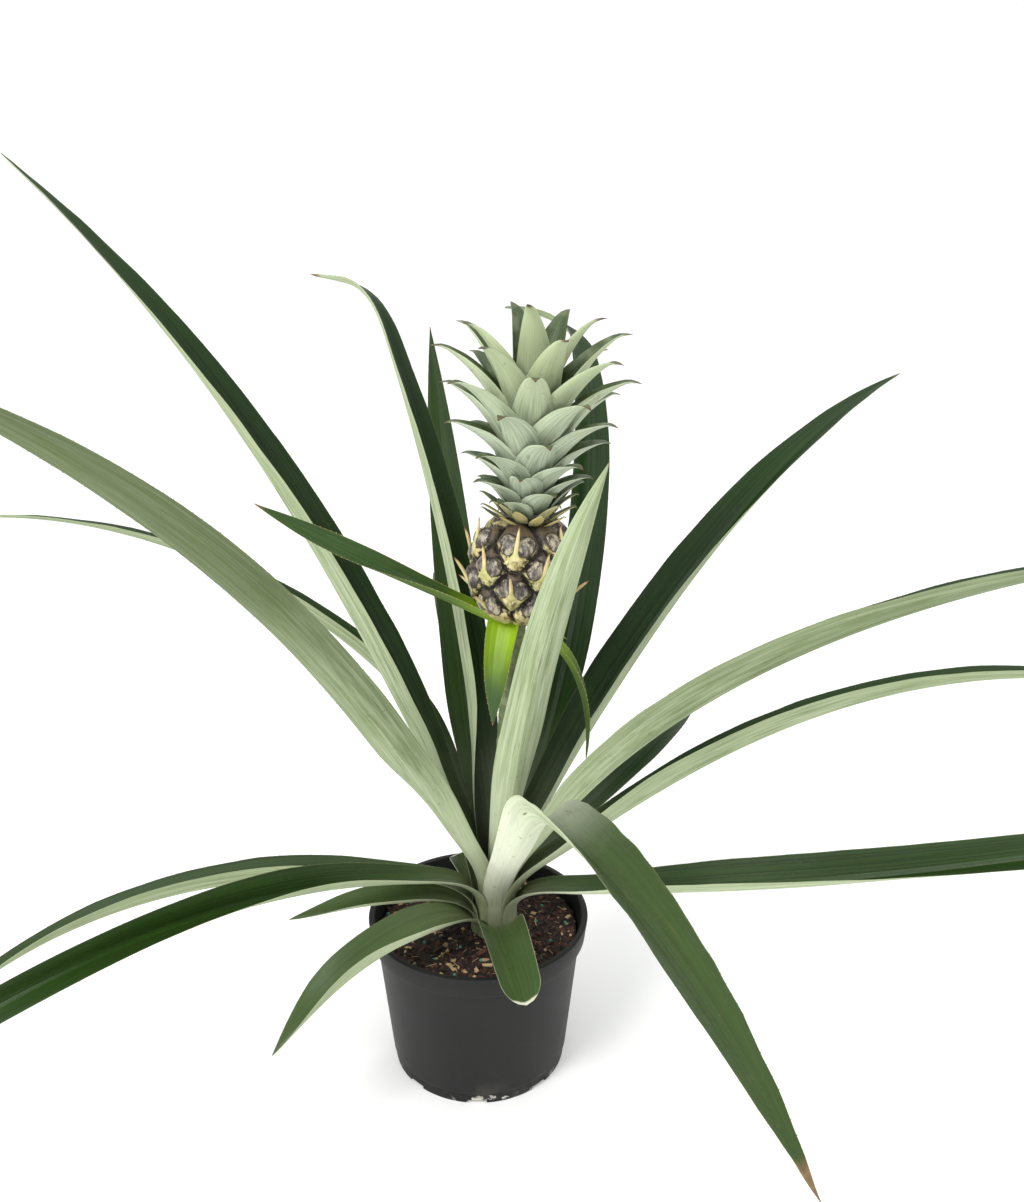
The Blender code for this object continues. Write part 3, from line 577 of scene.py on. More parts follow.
def marginTeeth(g, blade, size, spacing):
    # small forward-pointing spines along both margins
    b = bladeForm
    rim = abs(g.stored("across")) > 0.999
    line = g.node("GeometryNodeMeshToCurve", {"Mesh": blade, "Selection": rim})
    points = g.node("GeometryNodeCurveToPoints", {"Curve": line, "Length": spacing}, mode="LENGTH")
    share = g.stored("share")
    turn = g.node("FunctionNodeAlignRotationToVector", {"Vector": g.stored("toothWay", "FLOAT_VECTOR")},
                  axis="Z")
    cone = g.node("GeometryNodeMeshCone", {
        "Vertices": 4, "Side Segments": 1, "Radius Top": 0.0, "Radius Bottom": b["toothWidth"],
        "Depth": 1.0})
    cone = g.node("GeometryNodeTransform", {"Geometry": cone, "Translation": (0.0, 0.0, -b["toothSink"])})
    first, last = b["toothShares"]
    scale = g.random(*(size * factor for factor in b["toothChance"]), 3)
    teeth = g.node("GeometryNodeInstanceOnPoints", {
        "Points": points, "Selection": (share > first) * (share < last), "Instance": cone,
        "Rotation": turn, "Scale": g.vector(scale, scale, scale)})
    return g.store(g.node("GeometryNodeRealizeInstances", {"Geometry": teeth}), "tooth", 1.0)


def bladeTree():
    g, p = geometryTree("Blade", bladeInputs)
    rows, columns = p["Rows"], p["Columns"]
    blade = bladeShape(g, flatGrid(g, rows, columns), p, rows, columns, *gridPlace(g, rows, columns))
    teeth = marginTeeth(g, blade, p["Tooth"], p["Tooth Spacing"])
    both = g.node("GeometryNodeJoinGeometry", {"Geometry": [blade, teeth]})
    return endTree(g, both, p["Material"])


leafSizes = {
    "shellStart": 0.0090, "shellStep": 0.00125,    # radius of the innermost bases, and each shell's more
    "baseTop": 0.034, "baseStep": 0.0025,          # their height above the soil, and each shell's less
    "stemHeight": 0.036,
    "coreStart": 0.0078, "coreStep": 0.00055,      # the bases are drawn in to these radii
    "footDepth": 0.001, "footRows": 9.0,           # how far the bases run into the soil, and their rows
}
# place is the turn at which it leaves the stem; further inputs of the blade go in extra
Leaf = namedtuple("Leaf", "name shell place length width rise droop bend sweep roll fold extra")
leaves = (
    Leaf("leaf_back_left", 0, 124, 0.405, 0.036, 84, 30, 1.2, 4, -30, 45,
         {"Crease At": 0.85, "Crease": 55.0, "Pale": 0.9, "Dry": 0.02}),
    Leaf("leaf_front", 0, -68, 0.309, 0.030, 76.5, 22, 1.4, 0, 25, 40,
         {"Tint": 0.5, "Wear": 0.5, "Pale": 0.85}),
    Leaf("leaf_right_tall", 1, 21, 0.405, 0.041, 56, 43.5, 2.2, 14, -2, 50, {"Pale": 0.6, "Dry": 0.015}),
    Leaf("leaf_left_tall", 1, 174, 0.474, 0.041, 67, 26, 2.3, -7, 2.5, 50, {"Pale": 0.75}),
    Leaf("leaf_centre_back", 2, 105, 0.330, 0.034, 61.5, -7.5, 0.5, -2, 15, 32, {"Tint": 0.1}),
    Leaf("leaf_left_broad", 3, -140, 0.479, 0.030, 63.5, 34.7, 1.5, 9.8, -60, 40,
         {"Turn": -140.8, "Narrow": 0.72, "Pale": 0.15, "Wear": 0.5}),
    Leaf("leaf_right_back", 3, 56.5, 0.449, 0.034, 51.7, 46, 4, 50.7, -25, 40,
         {"Turn": 52.8, "Curl At": 0.937, "Curl": 200.0, "Taper": 4.5, "Pale": 0.6}),
    Leaf("leaf_right_long", 4, -38, 0.501, 0.034, 64.5, 51, 0.9, 3, 10, 50,
         {"Narrow": 0.62, "Pale": 0.4, "Wear": 0.5}),
    Leaf("leaf_left_slim", 4, 154, 0.400, 0.027, 73.5, 79.9, 1.1, -25, -15, 40,
         {"Turn": 132.0, "Curl At": 0.27, "Curl": 58.4, "Roll Span": 0.25, "Pale": 0.6}),
    Leaf("leaf_folded", 5, -75, 0.416, 0.042, 55.5, 31, 1.2, -3, 10, 40,
         {"Crease At": 0.3, "Crease": 30.0, "Tint": 0.25, "Wear": 1.0, "Pale": 1.0, "Bloom": 1.0,
          "Wave": 0.003, "Dry": 0.035}),
    Leaf("leaf_right_short", 7, 31.5, 0.234, 0.034, 27.5, 35, 1.1, 36.5, -15, 40, {}),
    Leaf("leaf_low_left", 6, -158, 0.422, 0.032, 20.5, 61.5, 1, 0, 60, 56,
         {"Roll Span": 0.26, "Tint": 0.08, "Pale": 0.8, "Bloom": 0.05}),
    Leaf("leaf_back_low", 7, 98, 0.293, 0.034, 44.5, 58, 1.6, 0, 0, 42, {}),
    Leaf("leaf_right_arched", 6, -15, 0.462, 0.031, 44, 79.5, 2.1, -1, 14, 45,
         {"Narrow": 0.7, "Taper": 2.2, "Pale": 0.8}),
    Leaf("leaf_right_level", 8, -27, 0.476, 0.034, 8.5, -16, 0.5, 10, -32, 48,
         {"Roll Span": 0.34, "Tint": 0.08, "Pale": 0.9, "Bloom": 0.05}),
    Leaf("leaf_low_left_back", 8, -179, 0.375, 0.030, 4.6, 54.8, 1.9, 31.4, -12, 50,
         {"Turn": -185.9, "Taper": 2.2, "Tint": 0.1, "Pale": 0.6, "Bloom": 0.05}),
    Leaf("leaf_cut_back", 9, 126, 0.030, 0.030, 74, 47, 0.4, 0, 0, 40,
         {"Cut": 0.85, "Wear": 0.8, "Pale": 0.2, "Bloom": 0.0}),
    Leaf("leaf_stub_left", 10, -170.5, 0.108, 0.027, 24.5, 38.5, 0.4, -8.5, 0, 58,
         {"Tint": 0.4, "Wear": 0.6, "Bloom": 0.05, "Pale": 0.7}),
    Leaf("leaf_stub_front_left", 11, -138.5, 0.146, 0.034, 65, 104.5, 0.4, -10.5, -21, 60,
         {"Taper": 6.0, "Tint": 0.3, "Bloom": 0.1, "Pale": 0.7}),
    Leaf("leaf_trimmed_front", 12, -87.5, 0.086, 0.034, 88, 112, 0.5, 12.5, -8, 40,
         {"Cut": 0.6, "Tint": 0.24, "Wear": 1.0, "Bloom": 0.0}),
)
stemLow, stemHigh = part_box("stem")
plantX = (stemLow[0] + stemHigh[0]) / 2.0
soilTop = stemHigh[2] - leafSizes["stemHeight"]
oneBlade = bladeTree()


def makeBlade(leaf, middle, radius, more):
    # one blade whose base stands at a radius round a point of the plant's axis
    turn = radians(leaf.place)
    names = ("Turn", "Length", "Width", "Rise", "Droop", "Bend", "Sweep", "Roll", "Fold")
    values = dict(zip(names, map(float, leaf[2:11])))
    start = (middle[0] + radius * cos(turn), middle[1] + radius * sin(turn), middle[2])
    values.update({"Start": start, "Base Radius": radius, **more, **leaf.extra})
    piece(leaf.name + "_blade", grow(leaf.name, oneBlade, values), leaf.name)


leafFinish = finish("LeafSkin", leafPaint, Specular_IOR_Level=0.3)
for rank, leaf in enumerate(leaves):
    radius = leafSizes["shellStart"] + leafSizes["shellStep"] * leaf.shell
    core = leafSizes["coreStart"] + leafSizes["coreStep"] * leaf.shell
    height = leafSizes["baseTop"] - leafSizes["baseStep"] * leaf.shell
    makeBlade(leaf, (plantX, 0.0, soilTop + height), radius, {
        "Base Radius": core, "Pull": radius - core, "Foot": height + leafSizes["footDepth"],
        "Foot Rows": leafSizes["footRows"], "Seed": rank * 3.7, "Material": leafFinish})
print("leaves grown:", len(leaves))


bractLook = {
    "green": (tone(150, 186, 20), tone(30, 64, 12)),      # at the base, and beyond it
    "greenEnd": (0.004, 0.042),      # metres along the bract where the one turns into the other
    "streak": tone(98, 130, 40),
    "under": tone(120, 146, 66),
    "edge": tone(190, 180, 110),
    "tip": tone(120, 88, 54),
    "tooth": tone(210, 190, 130),
}


def bractPaint(g):
    look = bractLook
    along, across, under, grain, place = bladePattern(g)
    lines, patch, fine = grain(12.0, 26.0, 0.0, 2.0, 0.6), g.noise(place, 60.0), g.noise(place, 500.0)
    colour = g.coats(
        g.mix(g.ease(along + (patch - 0.5) * 0.012, *look["greenEnd"]), *look["green"]),
        (g.ease(lines, 0.35, 0.7) * 0.3, look["streak"]),
        (under * 0.4, look["under"]),
        (g.ease(abs(across), 0.9, 0.98) * 0.6, look["edge"]),
        (g.ease(g.attribute("share"), 0.95, 0.99), look["tip"]),
        (g.attribute("tooth"), look["tooth"]))
    return {"Base Color": colour, "Roughness": 0.4 + (fine - 0.5) * 0.2 + under * 0.15,
            "Normal": g.bump(0.35, 0.0005, lines * 0.7 + fine * 0.3)}


axis = {"stalkLean": 0.0123, "stalkLength": 0.165, "fruitHeight": 0.054,
        "fruitLean": 6.5, "crownLean": 2.4}
bractSizes = {"start": 0.0075, "shell": 0.0010, "drop": 0.0055, "step": 0.0025}
bractBlade = {"Sheath": 1e-4, "Rows": 40, "Columns": 8, "Thickness": 0.0011, "Wave": 0.0006,
              "Tooth": 0.0006, "Tooth Spacing": 0.003}
bracts = (
    Leaf("bract_left_long", 0, -168, 0.150, 0.0205, 29.5, -6, 1.3, 3, 50, 28, {"Narrow": 0.95}),
    Leaf("bract_front", 1, -124, 0.057, 0.024, -46, 32, 0.8, -1, 0, 30,
         {"Lift": 0.007, "Turn": -110.0, "Narrow": 0.95, "Taper": 1.5}),
    Leaf("bract_right", 2, -3, 0.090, 0.018, 18, 112, 0.3, 2, 0, 35, {"Narrow": 0.8}),
    Leaf("bract_right_small", 3, 35, 0.030, 0.012, -8, 30, 1, 0, 0, 30, {}),
)


def axisPoint(height):
    lean = axis["stalkLean"] * height / axis["stalkLength"]
    return Vector((plantX + lean, 0.0, stemHigh[2] + height))


def leaning(place, angle):
    return Matrix.Translation(place) @ Matrix.Rotation(radians(angle), 4, "Y")


fruitFrame = leaning(axisPoint(axis["stalkLength"]), axis["fruitLean"])
crownFrame = leaning(fruitFrame @ Vector((0.0, 0.0, axis["fruitHeight"])), axis["crownLean"])
bractFinish = finish("BractSkin", bractPaint)
for rank, bract in enumerate(bracts):
    middle = axisPoint(axis["stalkLength"] - bractSizes["drop"] - bractSizes["step"] * bract.shell)
    middle.z += bract.extra.get("Lift", 0.0)
    makeBlade(bract, middle, bractSizes["start"] + bractSizes["shell"] * bract.shell,
              {**bractBlade, "Seed": rank * 5.1, "Material": bractFinish})
print("bracts grown:", len(bracts))


crownLook = {
    "inner": (tone(40, 58, 28), tone(84, 104, 58)),
    "outer": (tone(158, 176, 144), tone(224, 234, 208)),      # the mealy back of a leaf
    "heart": tone(188, 202, 146),      # of the youngest leaves
    "collar": tone(204, 186, 108),     # of the lowest ones
    # painted shade for the crown leaves' bases, where they overlap
    "foot": tone(78, 98, 62),
    "dust": tone(204, 212, 180),
    "stain": tone(122, 118, 66),
    "edge": tone(84, 82, 52),
    "tip": (tone(66, 54, 38), tone(112, 94, 60)),
}


def crownPaint(g):
    look = crownLook
    along, across, under, grain, place = bladePattern(g)
    share, rank = g.attribute("share"), g.attribute("tint")
    lines, stripe = grain(30.0, 20.0, rank * 40.0, 3.0, 0.65), grain(40.0, 40.0, rank * 70.0, 2.0, 0.7)
    patch, fine = g.noise(place, 70.0), g.noise(place, 600.0)
    inner = g.mix(g.ease(lines, 0.35, 0.7), *look["inner"])
    outer = g.coats(
        g.mix(g.ease(lines * 0.65 + stripe * 0.35, 0.30, 0.70), *look["outer"]),
        (g.ease(rank, 0.45, 0.95) * 0.65, look["heart"]),
        ((1.0 - g.ease(rank, 0.02, 0.14)) * 0.9, look["collar"]),
        # painted shade: each crown leaf darkens towards its base, where the leaves overlap
        ((1.0 - g.ease(share, 0.05, 0.42)) * 0.62, look["foot"]))
    stain = g.ease(g.noise(place, 170.0, 3.0, 0.65), 0.6, 0.72) * g.ease(share, 0.2, 0.7)
    colour = g.coats(
        g.mix(under, inner, outer),
        (g.ease(patch, 0.5, 0.8) * 0.35, look["dust"]),
        (stain * 0.45, look["stain"]),
        (g.ease(abs(across), 0.92, 0.985) * 0.75, look["edge"]),
        (g.ease(share + (patch - 0.5) * 0.06, 0.92, 0.975), g.mix(fine, *look["tip"])))
    return {"Base Color": colour, "Roughness": 0.5 + (fine - 0.5) * 0.2 + under * 0.1,
            "Normal": g.bump(0.4, 0.0004, lines * 0.4 + fine * 0.3)}


golden = 180.0 * (3.0 - sqrt(5.0))
crownSizes = {
    "Count": 44, "First Turn": 100.0, "Start Low": 0.0015, "Start High": 0.042,
    "Core Low": 0.0120, "Core High": 0.0035, "Inset": 0.0025, "Length Low": 0.028, "Length High": 0.082,
    "Top Cut": 0.03, "Width Low": 0.0220, "Width High": 0.0330, "Rise Low": 51.0, "Rise High": 63.0,
    "Heart": 20.0, "Droop Low": 54.0, "Droop High": 32.0, "Bend": 2.2, "Fold": 26.0, "Hook": 34.0,
    "Taper": 2.0, "Thickness": 0.0012, "Rank Low": 0.1, "Rank High": 1.0, "Seed": 4,
    "Length Chance": 0.03, "Rise Chance": 2.0, "Sweep Chance": 5.0, "Roll Chance": 8.0,
    "Rows": 28, "Columns": 7,
}
collarSizes = {
    **crownSizes, "Count": 20, "First Turn": 40.0, "Start Low": -0.0008, "Start High": 0.0026,
    "Core Low": 0.0155, "Core High": 0.0125, "Length Low": 0.0150, "Length High": 0.0220,
    "Top Cut": 0.0, "Width Low": 0.0065, "Width High": 0.0095, "Rise Low": 30.0, "Rise High": 52.0,
    "Heart": 0.0, "Droop Low": -10.0, "Droop High": 40.0, "Hook": 70.0, "Rank Low": 0.0,
    "Rank High": 0.08, "Seed": 9, "Rows": 16,
}
crownBlade = {
    "Keel": 0.9, "Narrow": 0.8, "Sheath": 1e-4, "Crease At": 0.92, "Cut": 0.0, "Wave": 0.0008,
    "Wear": 0.0, "Pale": 0.0, "Bloom": 0.0, "Dry": 0.0, "Foot": 0.0, "Foot Rows": 0.0, "Pull": 0.0,
    "Roll Span": 0.1, "Curl At": 0.9, "Curl": 0.0,
}


def crownTree():
    # golden-angle spiral of blades on a short core, sized by their place in it
    g, p = geometryTree("Crown", {**crownSizes, "Material": "Material"})
    rows, columns = p["Rows"], p["Columns"]
    points = g.node("GeometryNodeMeshLine", {"Count": p["Count"]})
    sheets = g.node("GeometryNodeInstanceOnPoints",
                    {"Points": points, "Instance": flatGrid(g, rows, columns)})
    sheets = g.node("GeometryNodeRealizeInstances", {"Geometry": sheets})
    leaf, row, column = gridPlace(g, rows, columns)
    share = leaf / (p["Count"] - 1.0)
    chance = g.random(-1.0, 1.0, p["Seed"], ID=leaf)

    def between(name, t):
        return blend(p[name + " Low"], p[name + " High"], t)
    turn = p["First Turn"] + leaf * golden
    core = between("Core", share)
    radius = core - p["Inset"]
    angle = radian(turn)
    start = g.vector(radius * g.cosine(angle), radius * g.sine(angle), between("Start", share))
    kept = 1.0 - g.ease(share, 0.85, 1.0) * p["Top Cut"]
    values = {
        **crownBlade, "Start": start, "Base Radius": core, "Turn": turn,
        "Length": between("Length", g.ease(share, 0.0, 0.85)) * kept * (1.0 + chance * p["Length Chance"]),
        "Width": between("Width", g.ease(share, 0.0, 0.6)),
        "Rise": between("Rise", share) + share ** 8.0 * p["Heart"] + chance * p["Rise Chance"],
        "Droop": between("Droop", share), "Bend": p["Bend"], "Sweep": chance * p["Sweep Chance"],
        "Roll": chance * p["Roll Chance"], "Fold": p["Fold"], "Taper": p["Taper"], "Crease": p["Hook"],
        "Thickness": p["Thickness"], "Seed": leaf * 2.3, "Tint": between("Rank", share)}
    return endTree(g, bladeShape(g, sheets, values, rows, columns, leaf, row, column), p["Material"])


def joined(name, meshes):
    # several meshes as one
    bm = bmesh.new()
    for mesh in meshes:
        bm.from_mesh(mesh)
    whole = bmeshDone(bm, name)
    whole.materials.append(meshes[0].materials[0])
    whole.shade_smooth()
    return whole


spiral = crownTree()
crownFinish = finish("CrownSkin", crownPaint)
crownMesh = joined("crown", [grow("crown", spiral, {**sizes, "Material": crownFinish})
                             for sizes in (crownSizes, collarSizes)])
crownMesh.transform(crownFrame)
piece("crown_leaves", crownMesh, "crown")
print("crown grown:", len(crownMesh.polygons), "faces")


fruitLook = {
    "cream": (tone(158, 154, 92), tone(228, 220, 162)),      # skin of an eye's lower half
    "blush": tone(206, 178, 128),
    "upper": tone(84, 72, 58),
    "creamFibre": tone(84, 72, 40),
    "sepal": (tone(36, 29, 27), tone(124, 115, 106)),
    # painted highlight on the dome of each sepal
    "sepalHighlight": tone(158, 148, 136),
    "sepalFibreAndSheen": (tone(192, 182, 154), tone(20, 15, 13)),      # pale fibres, partly painted sheen, and dark fibres
    "ring": tone(24, 17, 14),
    "groove": tone(22, 15, 11),
}
fruitSizes = {
    "radius": 0.0252, "square": 2.8,       # barrel outline: 2 gives a ball
    "eyes": 26, "eyeTurn": 65.3, "firstTurn": -35.7, "margin": 0.05,
    "rings": 130, "around": 420,
    "spacing": 0.018, "leastRadius": 0.009,    # from eye to eye, and what keeps them apart at the ends
    "raised": 0.0036, "groove": 0.0052,    # height of an eye, and how far in from its edge it rises
    "roundness": 2.4, "endFade": 0.04, "rimSpan": 0.006, "aboveSpan": 0.016,
    "lobe": 0.0013, "lobeWide": 0.0044, "lobeTall": 0.0050,     # the two sepals of an eye
    "lobeBeside": 0.0041, "lobeAbove": 0.0022,
    "seam": 0.0005, "seamAt": 1.05, "seamWidth": 0.18,
    "wrinkle": 0.00012, "wrinkleBeside": 1900.0, "wrinkleAbove": 1300.0, "wrinkleShear": 700.0,
}


def fruitPaint(g):
    look, place = fruitLook, g.place()
    rim = g.attribute("rim")           # 0 in the grooves, 1 well inside an eye
    patch, fine = g.noise(place, 240.0, 3.0), g.noise(place, 900.0)
    fibres = g.noise(g.stretched(place, 1.0, 1.0, 0.35), 420.0, 3.0, 0.65)
    rough = g.noise(place, 400.0, 3.0, 0.7) - 0.5
    lobe = g.attribute("lobe") + rough * 1.7     # 0 in the middle of a sepal, 1 at its edge
    shift = patch - 0.5
    cream = g.coats(
        g.mix(g.ease(patch, 0.35, 0.7), *look["cream"]),
        (g.attribute("chance") * 0.4, look["blush"]),
        (g.ease(g.attribute("above"), 0.50, 0.66), look["upper"]),      # 0 at an eye's foot, 1 at its top
        (g.ease(fibres, 0.46, 0.62) * 0.75, look["creamFibre"]))
    sepal = g.coats(
        g.mix(g.ease(patch * 0.6 + fine * 0.4, 0.38, 0.64), *look["sepal"]),
        # painted highlight: the middle of each domed sepal is lighter
        ((1.0 - g.ease(lobe, 0.0, 0.5)) * 0.4, look["sepalHighlight"]),
        # pale fibres: fibre texture that also serves as painted sheen on the sepals
        (g.ease(fibres, 0.48, 0.62) * 0.8, look["sepalFibreAndSheen"][0]),
        (g.ease(1.0 - fibres, 0.50, 0.66) * 0.7, look["sepalFibreAndSheen"][1]))
    ring = g.ease(lobe + shift * 0.2, 0.74, 0.96) * (1.0 - g.ease(lobe + shift * 0.3, 1.06, 1.30))
    skin = g.coats(
        g.mix(1.0 - g.ease(lobe + shift * 0.1, 0.84, 0.96), cream, sepal),
        (ring * 0.9, look["ring"]),
        (1.0 - g.ease(rim + rough * 1.3, 0.08, 0.40), look["groove"]))
    return {"Base Color": skin, "Roughness": 0.48 + (fine - 0.5) * 0.3,
            "Normal": g.bump(0.6, 0.0006, patch * 0.7 + fine * 0.3)}


def fruitRadius(share):
    return fruitSizes["radius"] * np.sqrt(1.0 - np.abs(2.0 * share - 1.0) ** fruitSizes["square"])


def fruitMesh():
    # a barrel whose skin rises in each eye and sinks in the grooves between them
    f, tall = fruitSizes, axis["fruitHeight"]
    even = np.linspace(0.0, 1.0, f["rings"] + 1)[1:-1]      # the rings, drawn together at both ends
    share = np.repeat(0.5 * (0.5 - 0.5 * np.cos(even * pi)) + 0.5 * even, f["around"])
    turn = np.tile(np.arange(f["around"]) * (2.0 * pi / f["around"]), f["rings"] - 1)
    index = np.arange(f["eyes"])
    eyeShare = blend(f["margin"], 1.0 - f["margin"], (index + 0.5) / f["eyes"])
    eyeTurn = np.radians(f["firstTurn"] + f["eyeTurn"] * index)
    radius = fruitRadius(share)
    ruler = np.linspace(0.0, 1.0, 400)      # length along the outline, for distances up and down
    length = np.cumsum(np.hypot(np.diff(fruitRadius(ruler)), np.diff(ruler) * tall))
    length = np.concatenate([[0.0], length])
    height, eyeHeight = np.interp(share, ruler, length), np.interp(eyeShare, ruler, length)
    gap = (turn[:, None] - eyeTurn[None, :] + pi) % (2.0 * pi) - pi
    beside = gap * np.maximum(radius, f["leastRadius"])[:, None]
    above = height[:, None] - eyeHeight[None, :]
    distance = np.hypot(beside, above)
    nearest, other = np.argsort(distance, axis=1)[:, :2].T
    rows = np.arange(len(share))
    first, second = distance[rows, nearest], distance[rows, other]
    rim = (second ** 2 - first ** 2) / (2.0 * f["spacing"])      # metres to the nearest edge of the eye
    a, b = beside[rows, nearest], above[rows, nearest]
    rise = 1.0 - (1.0 - np.clip(rim / f["groove"], 0.0, 1.0)) ** f["roundness"]
    lobe = ((np.abs(a) - f["lobeBeside"]) / f["lobeWide"]) ** 2
    lobe = lobe + ((b - f["lobeAbove"]) / f["lobeTall"]) ** 2
    detail = f["lobe"] * np.sqrt(np.clip(1.0 - lobe, 0.0, 1.0))
    detail = detail - f["seam"] * np.exp(-((lobe - f["seamAt"]) / f["seamWidth"]) ** 2)
    wrinkle = np.sin(a * f["wrinkleBeside"] + nearest)
    wrinkle = wrinkle * np.sin(b * f["wrinkleAbove"] + a * f["wrinkleShear"])
    fade = np.clip(np.minimum(share, 1.0 - share) / f["endFade"], 0.0, 1.0)
    skin = fade * (f["raised"] * rise + (detail + f["wrinkle"] * wrinkle) * rise)
    step = 0.002
    slope = (fruitRadius(np.clip(share + step, 0, 1)) - fruitRadius(np.clip(share - step, 0, 1)))
    slope = slope / (2.0 * step * tall)
    tilt = np.sqrt(1.0 + slope ** 2)
    flat = radius + skin / tilt
    up = share * tall - skin * slope / tilt
    points = np.stack([flat * np.cos(turn), flat * np.sin(turn), up], axis=1)
    points = np.concatenate([points, [[0.0, 0.0, 0.0], [0.0, 0.0, tall]]])
    low, high, last = len(points) - 2, len(points) - 1, len(points) - 2 - f["around"]
    faces = tubeFaces(f["rings"] - 1, f["around"])
    for k in range(f["around"]):
        after = (k + 1) % f["around"]
        faces += [(low, after, k), (high, last + k, last + after)]
    values = {"rim": np.clip(rim / f["rimSpan"], 0.0, 1.0), "lobe": np.clip(lobe, 0.0, 2.0),
              "above": np.clip(b / f["aboveSpan"] + 0.5, 0.0, 1.0),
              "chance": (np.sin(nearest * 12.9) + 1.0) * 0.5}
    values = {key: np.append(value, [0.5, 0.5]) for key, value in values.items()}
    return meshFrom("fruit", points, faces, values, finish("FruitSkin", fruitPaint))


scaleLook = {
    "skin": (tone(184, 180, 112), tone(222, 214, 154)),
    "spine": tone(230, 214, 160),
    "blush": tone(206, 156, 112),
    "tip": tone(104, 62, 42),
}
scaleSizes = {
    "Reach": 0.0190, "Half Width": 0.0056, "Spine Width": 0.0013, "Foot Drop": 0.0056, "Lift": 0.0052,
    "Spine Start": 0.20, "Spine Rise": 0.0006, "Foot Depth": 0.0012, "Hug": 0.0007,
    "Neck": 0.34, "Point": 0.9, "Curve": 1.5,
    "Thickness": 0.0019, "Rows": 26, "Columns": 6,
}


def scalePaint(g):
    look, place = scaleLook, g.place()
    share, side = g.attribute("share"), abs(g.attribute("across"))
    patch, fine = g.noise(place, 200.0, 3.0), g.noise(g.stretched(place, 1.0, 1.0, 0.25), 1400.0)
    colour = g.coats(
        g.mix(g.ease(patch, 0.35, 0.7), *look["skin"]),
        (g.ease(share, 0.3, 0.5) * (1.0 - side * 0.6), look["spine"]),
        (g.ease(share, 0.45, 0.75) * g.ease(patch, 0.4, 0.6) * 0.5, look["blush"]),
        (g.ease(share + (patch - 0.5) * 0.1, 0.84, 0.97), look["tip"]))
    return {"Base Color": colour, "Roughness": 0.5 + (fine - 0.5) * 0.2,
            "Normal": g.bump(0.4, 0.0004, fine * 0.6 + patch * 0.4)}


def oneScale(g, p):
    # a broad foot on the eye's lower half, drawn in quickly to a slim spine that curves outwards
    rows, columns = p["Rows"], p["Columns"]
    row, column = gridPlace(g, rows, columns)[1:]
    share = row / rows
    bent, under = sides(column / (columns * 2.0))
    across = g.sine(bent * (pi / 2.0))
    narrow = g.ease(share, -0.05, p["Neck"])
    half = blend(p["Half Width"], p["Spine Width"], narrow) * (1.0 - share ** 3.0 * p["Point"])
    away = (g.maximum(share - p["Spine Start"], 0.0) / (1.0 - p["Spine Start"])) ** p["Curve"]
    z = away * p["Lift"] + narrow * p["Spine Rise"] - (1.0 - g.ease(share, 0.0, 0.2)) * p["Foot Depth"]
    z = z - across * across * (1.0 - narrow) * p["Hug"]
    ends = g.minimum(share / 0.05, 1.0) * g.minimum((1.0 - share) / 0.3, 1.0)
    body = g.root(g.maximum((1.0 - across * across) * ends, 0.0))
    z = z + p["Thickness"] * 0.5 * body * (1.0 - under * 2.0)
    grid = flatGrid(g, rows, columns)
    for name, value in (("share", share), ("across", across)):
        grid = g.store(grid, name, value)
    grid = placed(g, grid, g.vector(share * p["Reach"] - p["Foot Drop"], 0.0 - half * across, z))
    return g.node("GeometryNodeMergeByDistance", {"Geometry": grid, "Distance": 1e-6})


def scaleTree():
    # one spined scale in the lower half of every eye
    f = fruitSizes
    g, p = geometryTree("Scales", {
        "Count": f["eyes"], "Turn": f["eyeTurn"], "First Turn": f["firstTurn"], "Margin": f["margin"],
        "Height": axis["fruitHeight"], "Radius": f["radius"] + f["raised"], "Square": f["square"],
        "Seed": 2, **scaleSizes, "Material": "Material"})

    def outline(s):
        return p["Radius"] * g.root(1.0 - abs(s * 2.0 - 1.0) ** p["Square"])
    index = g.node("GeometryNodeInputIndex")
    place = p["Margin"] + (1.0 - p["Margin"] * 2.0) * (index + 0.5) / p["Count"]
    turn = radian(p["First Turn"] + p["Turn"] * index)
    cosine, sine, reach, step = g.cosine(turn), g.sine(turn), outline(place), 0.02
    slope = (outline(place + step) - outline(place - step)) / (p["Height"] * (2.0 * step))
    upward = g.vector(cosine * slope, sine * slope, 1.0)
    outward = g.vectorMaths("CROSS_PRODUCT", g.vector(0.0 - sine, cosine, 0.0), upward)
    points = g.node("GeometryNodeSetPosition", {
        "Geometry": g.node("GeometryNodeMeshLine", {"Count": p["Count"]}),
        "Position": g.vector(reach * cosine, reach * sine, place * p["Height"])})
    stand = g.node("FunctionNodeAxesToRotation", {"Primary Axis": outward, "Secondary Axis": upward},
                   primary_axis="Z", secondary_axis="X")
    shake = g.random((-0.08, -0.14, -0.10), (0.08, 0.10, 0.10), p["Seed"])
    shake = g.node("FunctionNodeEulerToRotation", {"Euler": shake})
    stand = g.node("FunctionNodeRotateRotation", {"Rotation": stand, "Rotate By": shake},
                   rotation_space="LOCAL")
    size = g.random(0.88, 1.06, 7)
    scales = g.node("GeometryNodeInstanceOnPoints", {
        "Points": points, "Instance": oneScale(g, p), "Rotation": stand,
        "Scale": g.vector(size, size, size)})
    return endTree(g, scales, p["Material"])


fruitBody = fruitMesh()
scaleMesh = grow("fruit_scales", scaleTree(), {"Material": finish("ScaleSkin", scalePaint)})
for name, mesh in (("fruit_body", fruitBody), ("fruit_scales", scaleMesh)):
    mesh.transform(fruitFrame)
    piece(name, mesh, "fruit")
print("fruit made:", len(fruitBody.polygons), "+", len(scaleMesh.polygons), "faces")


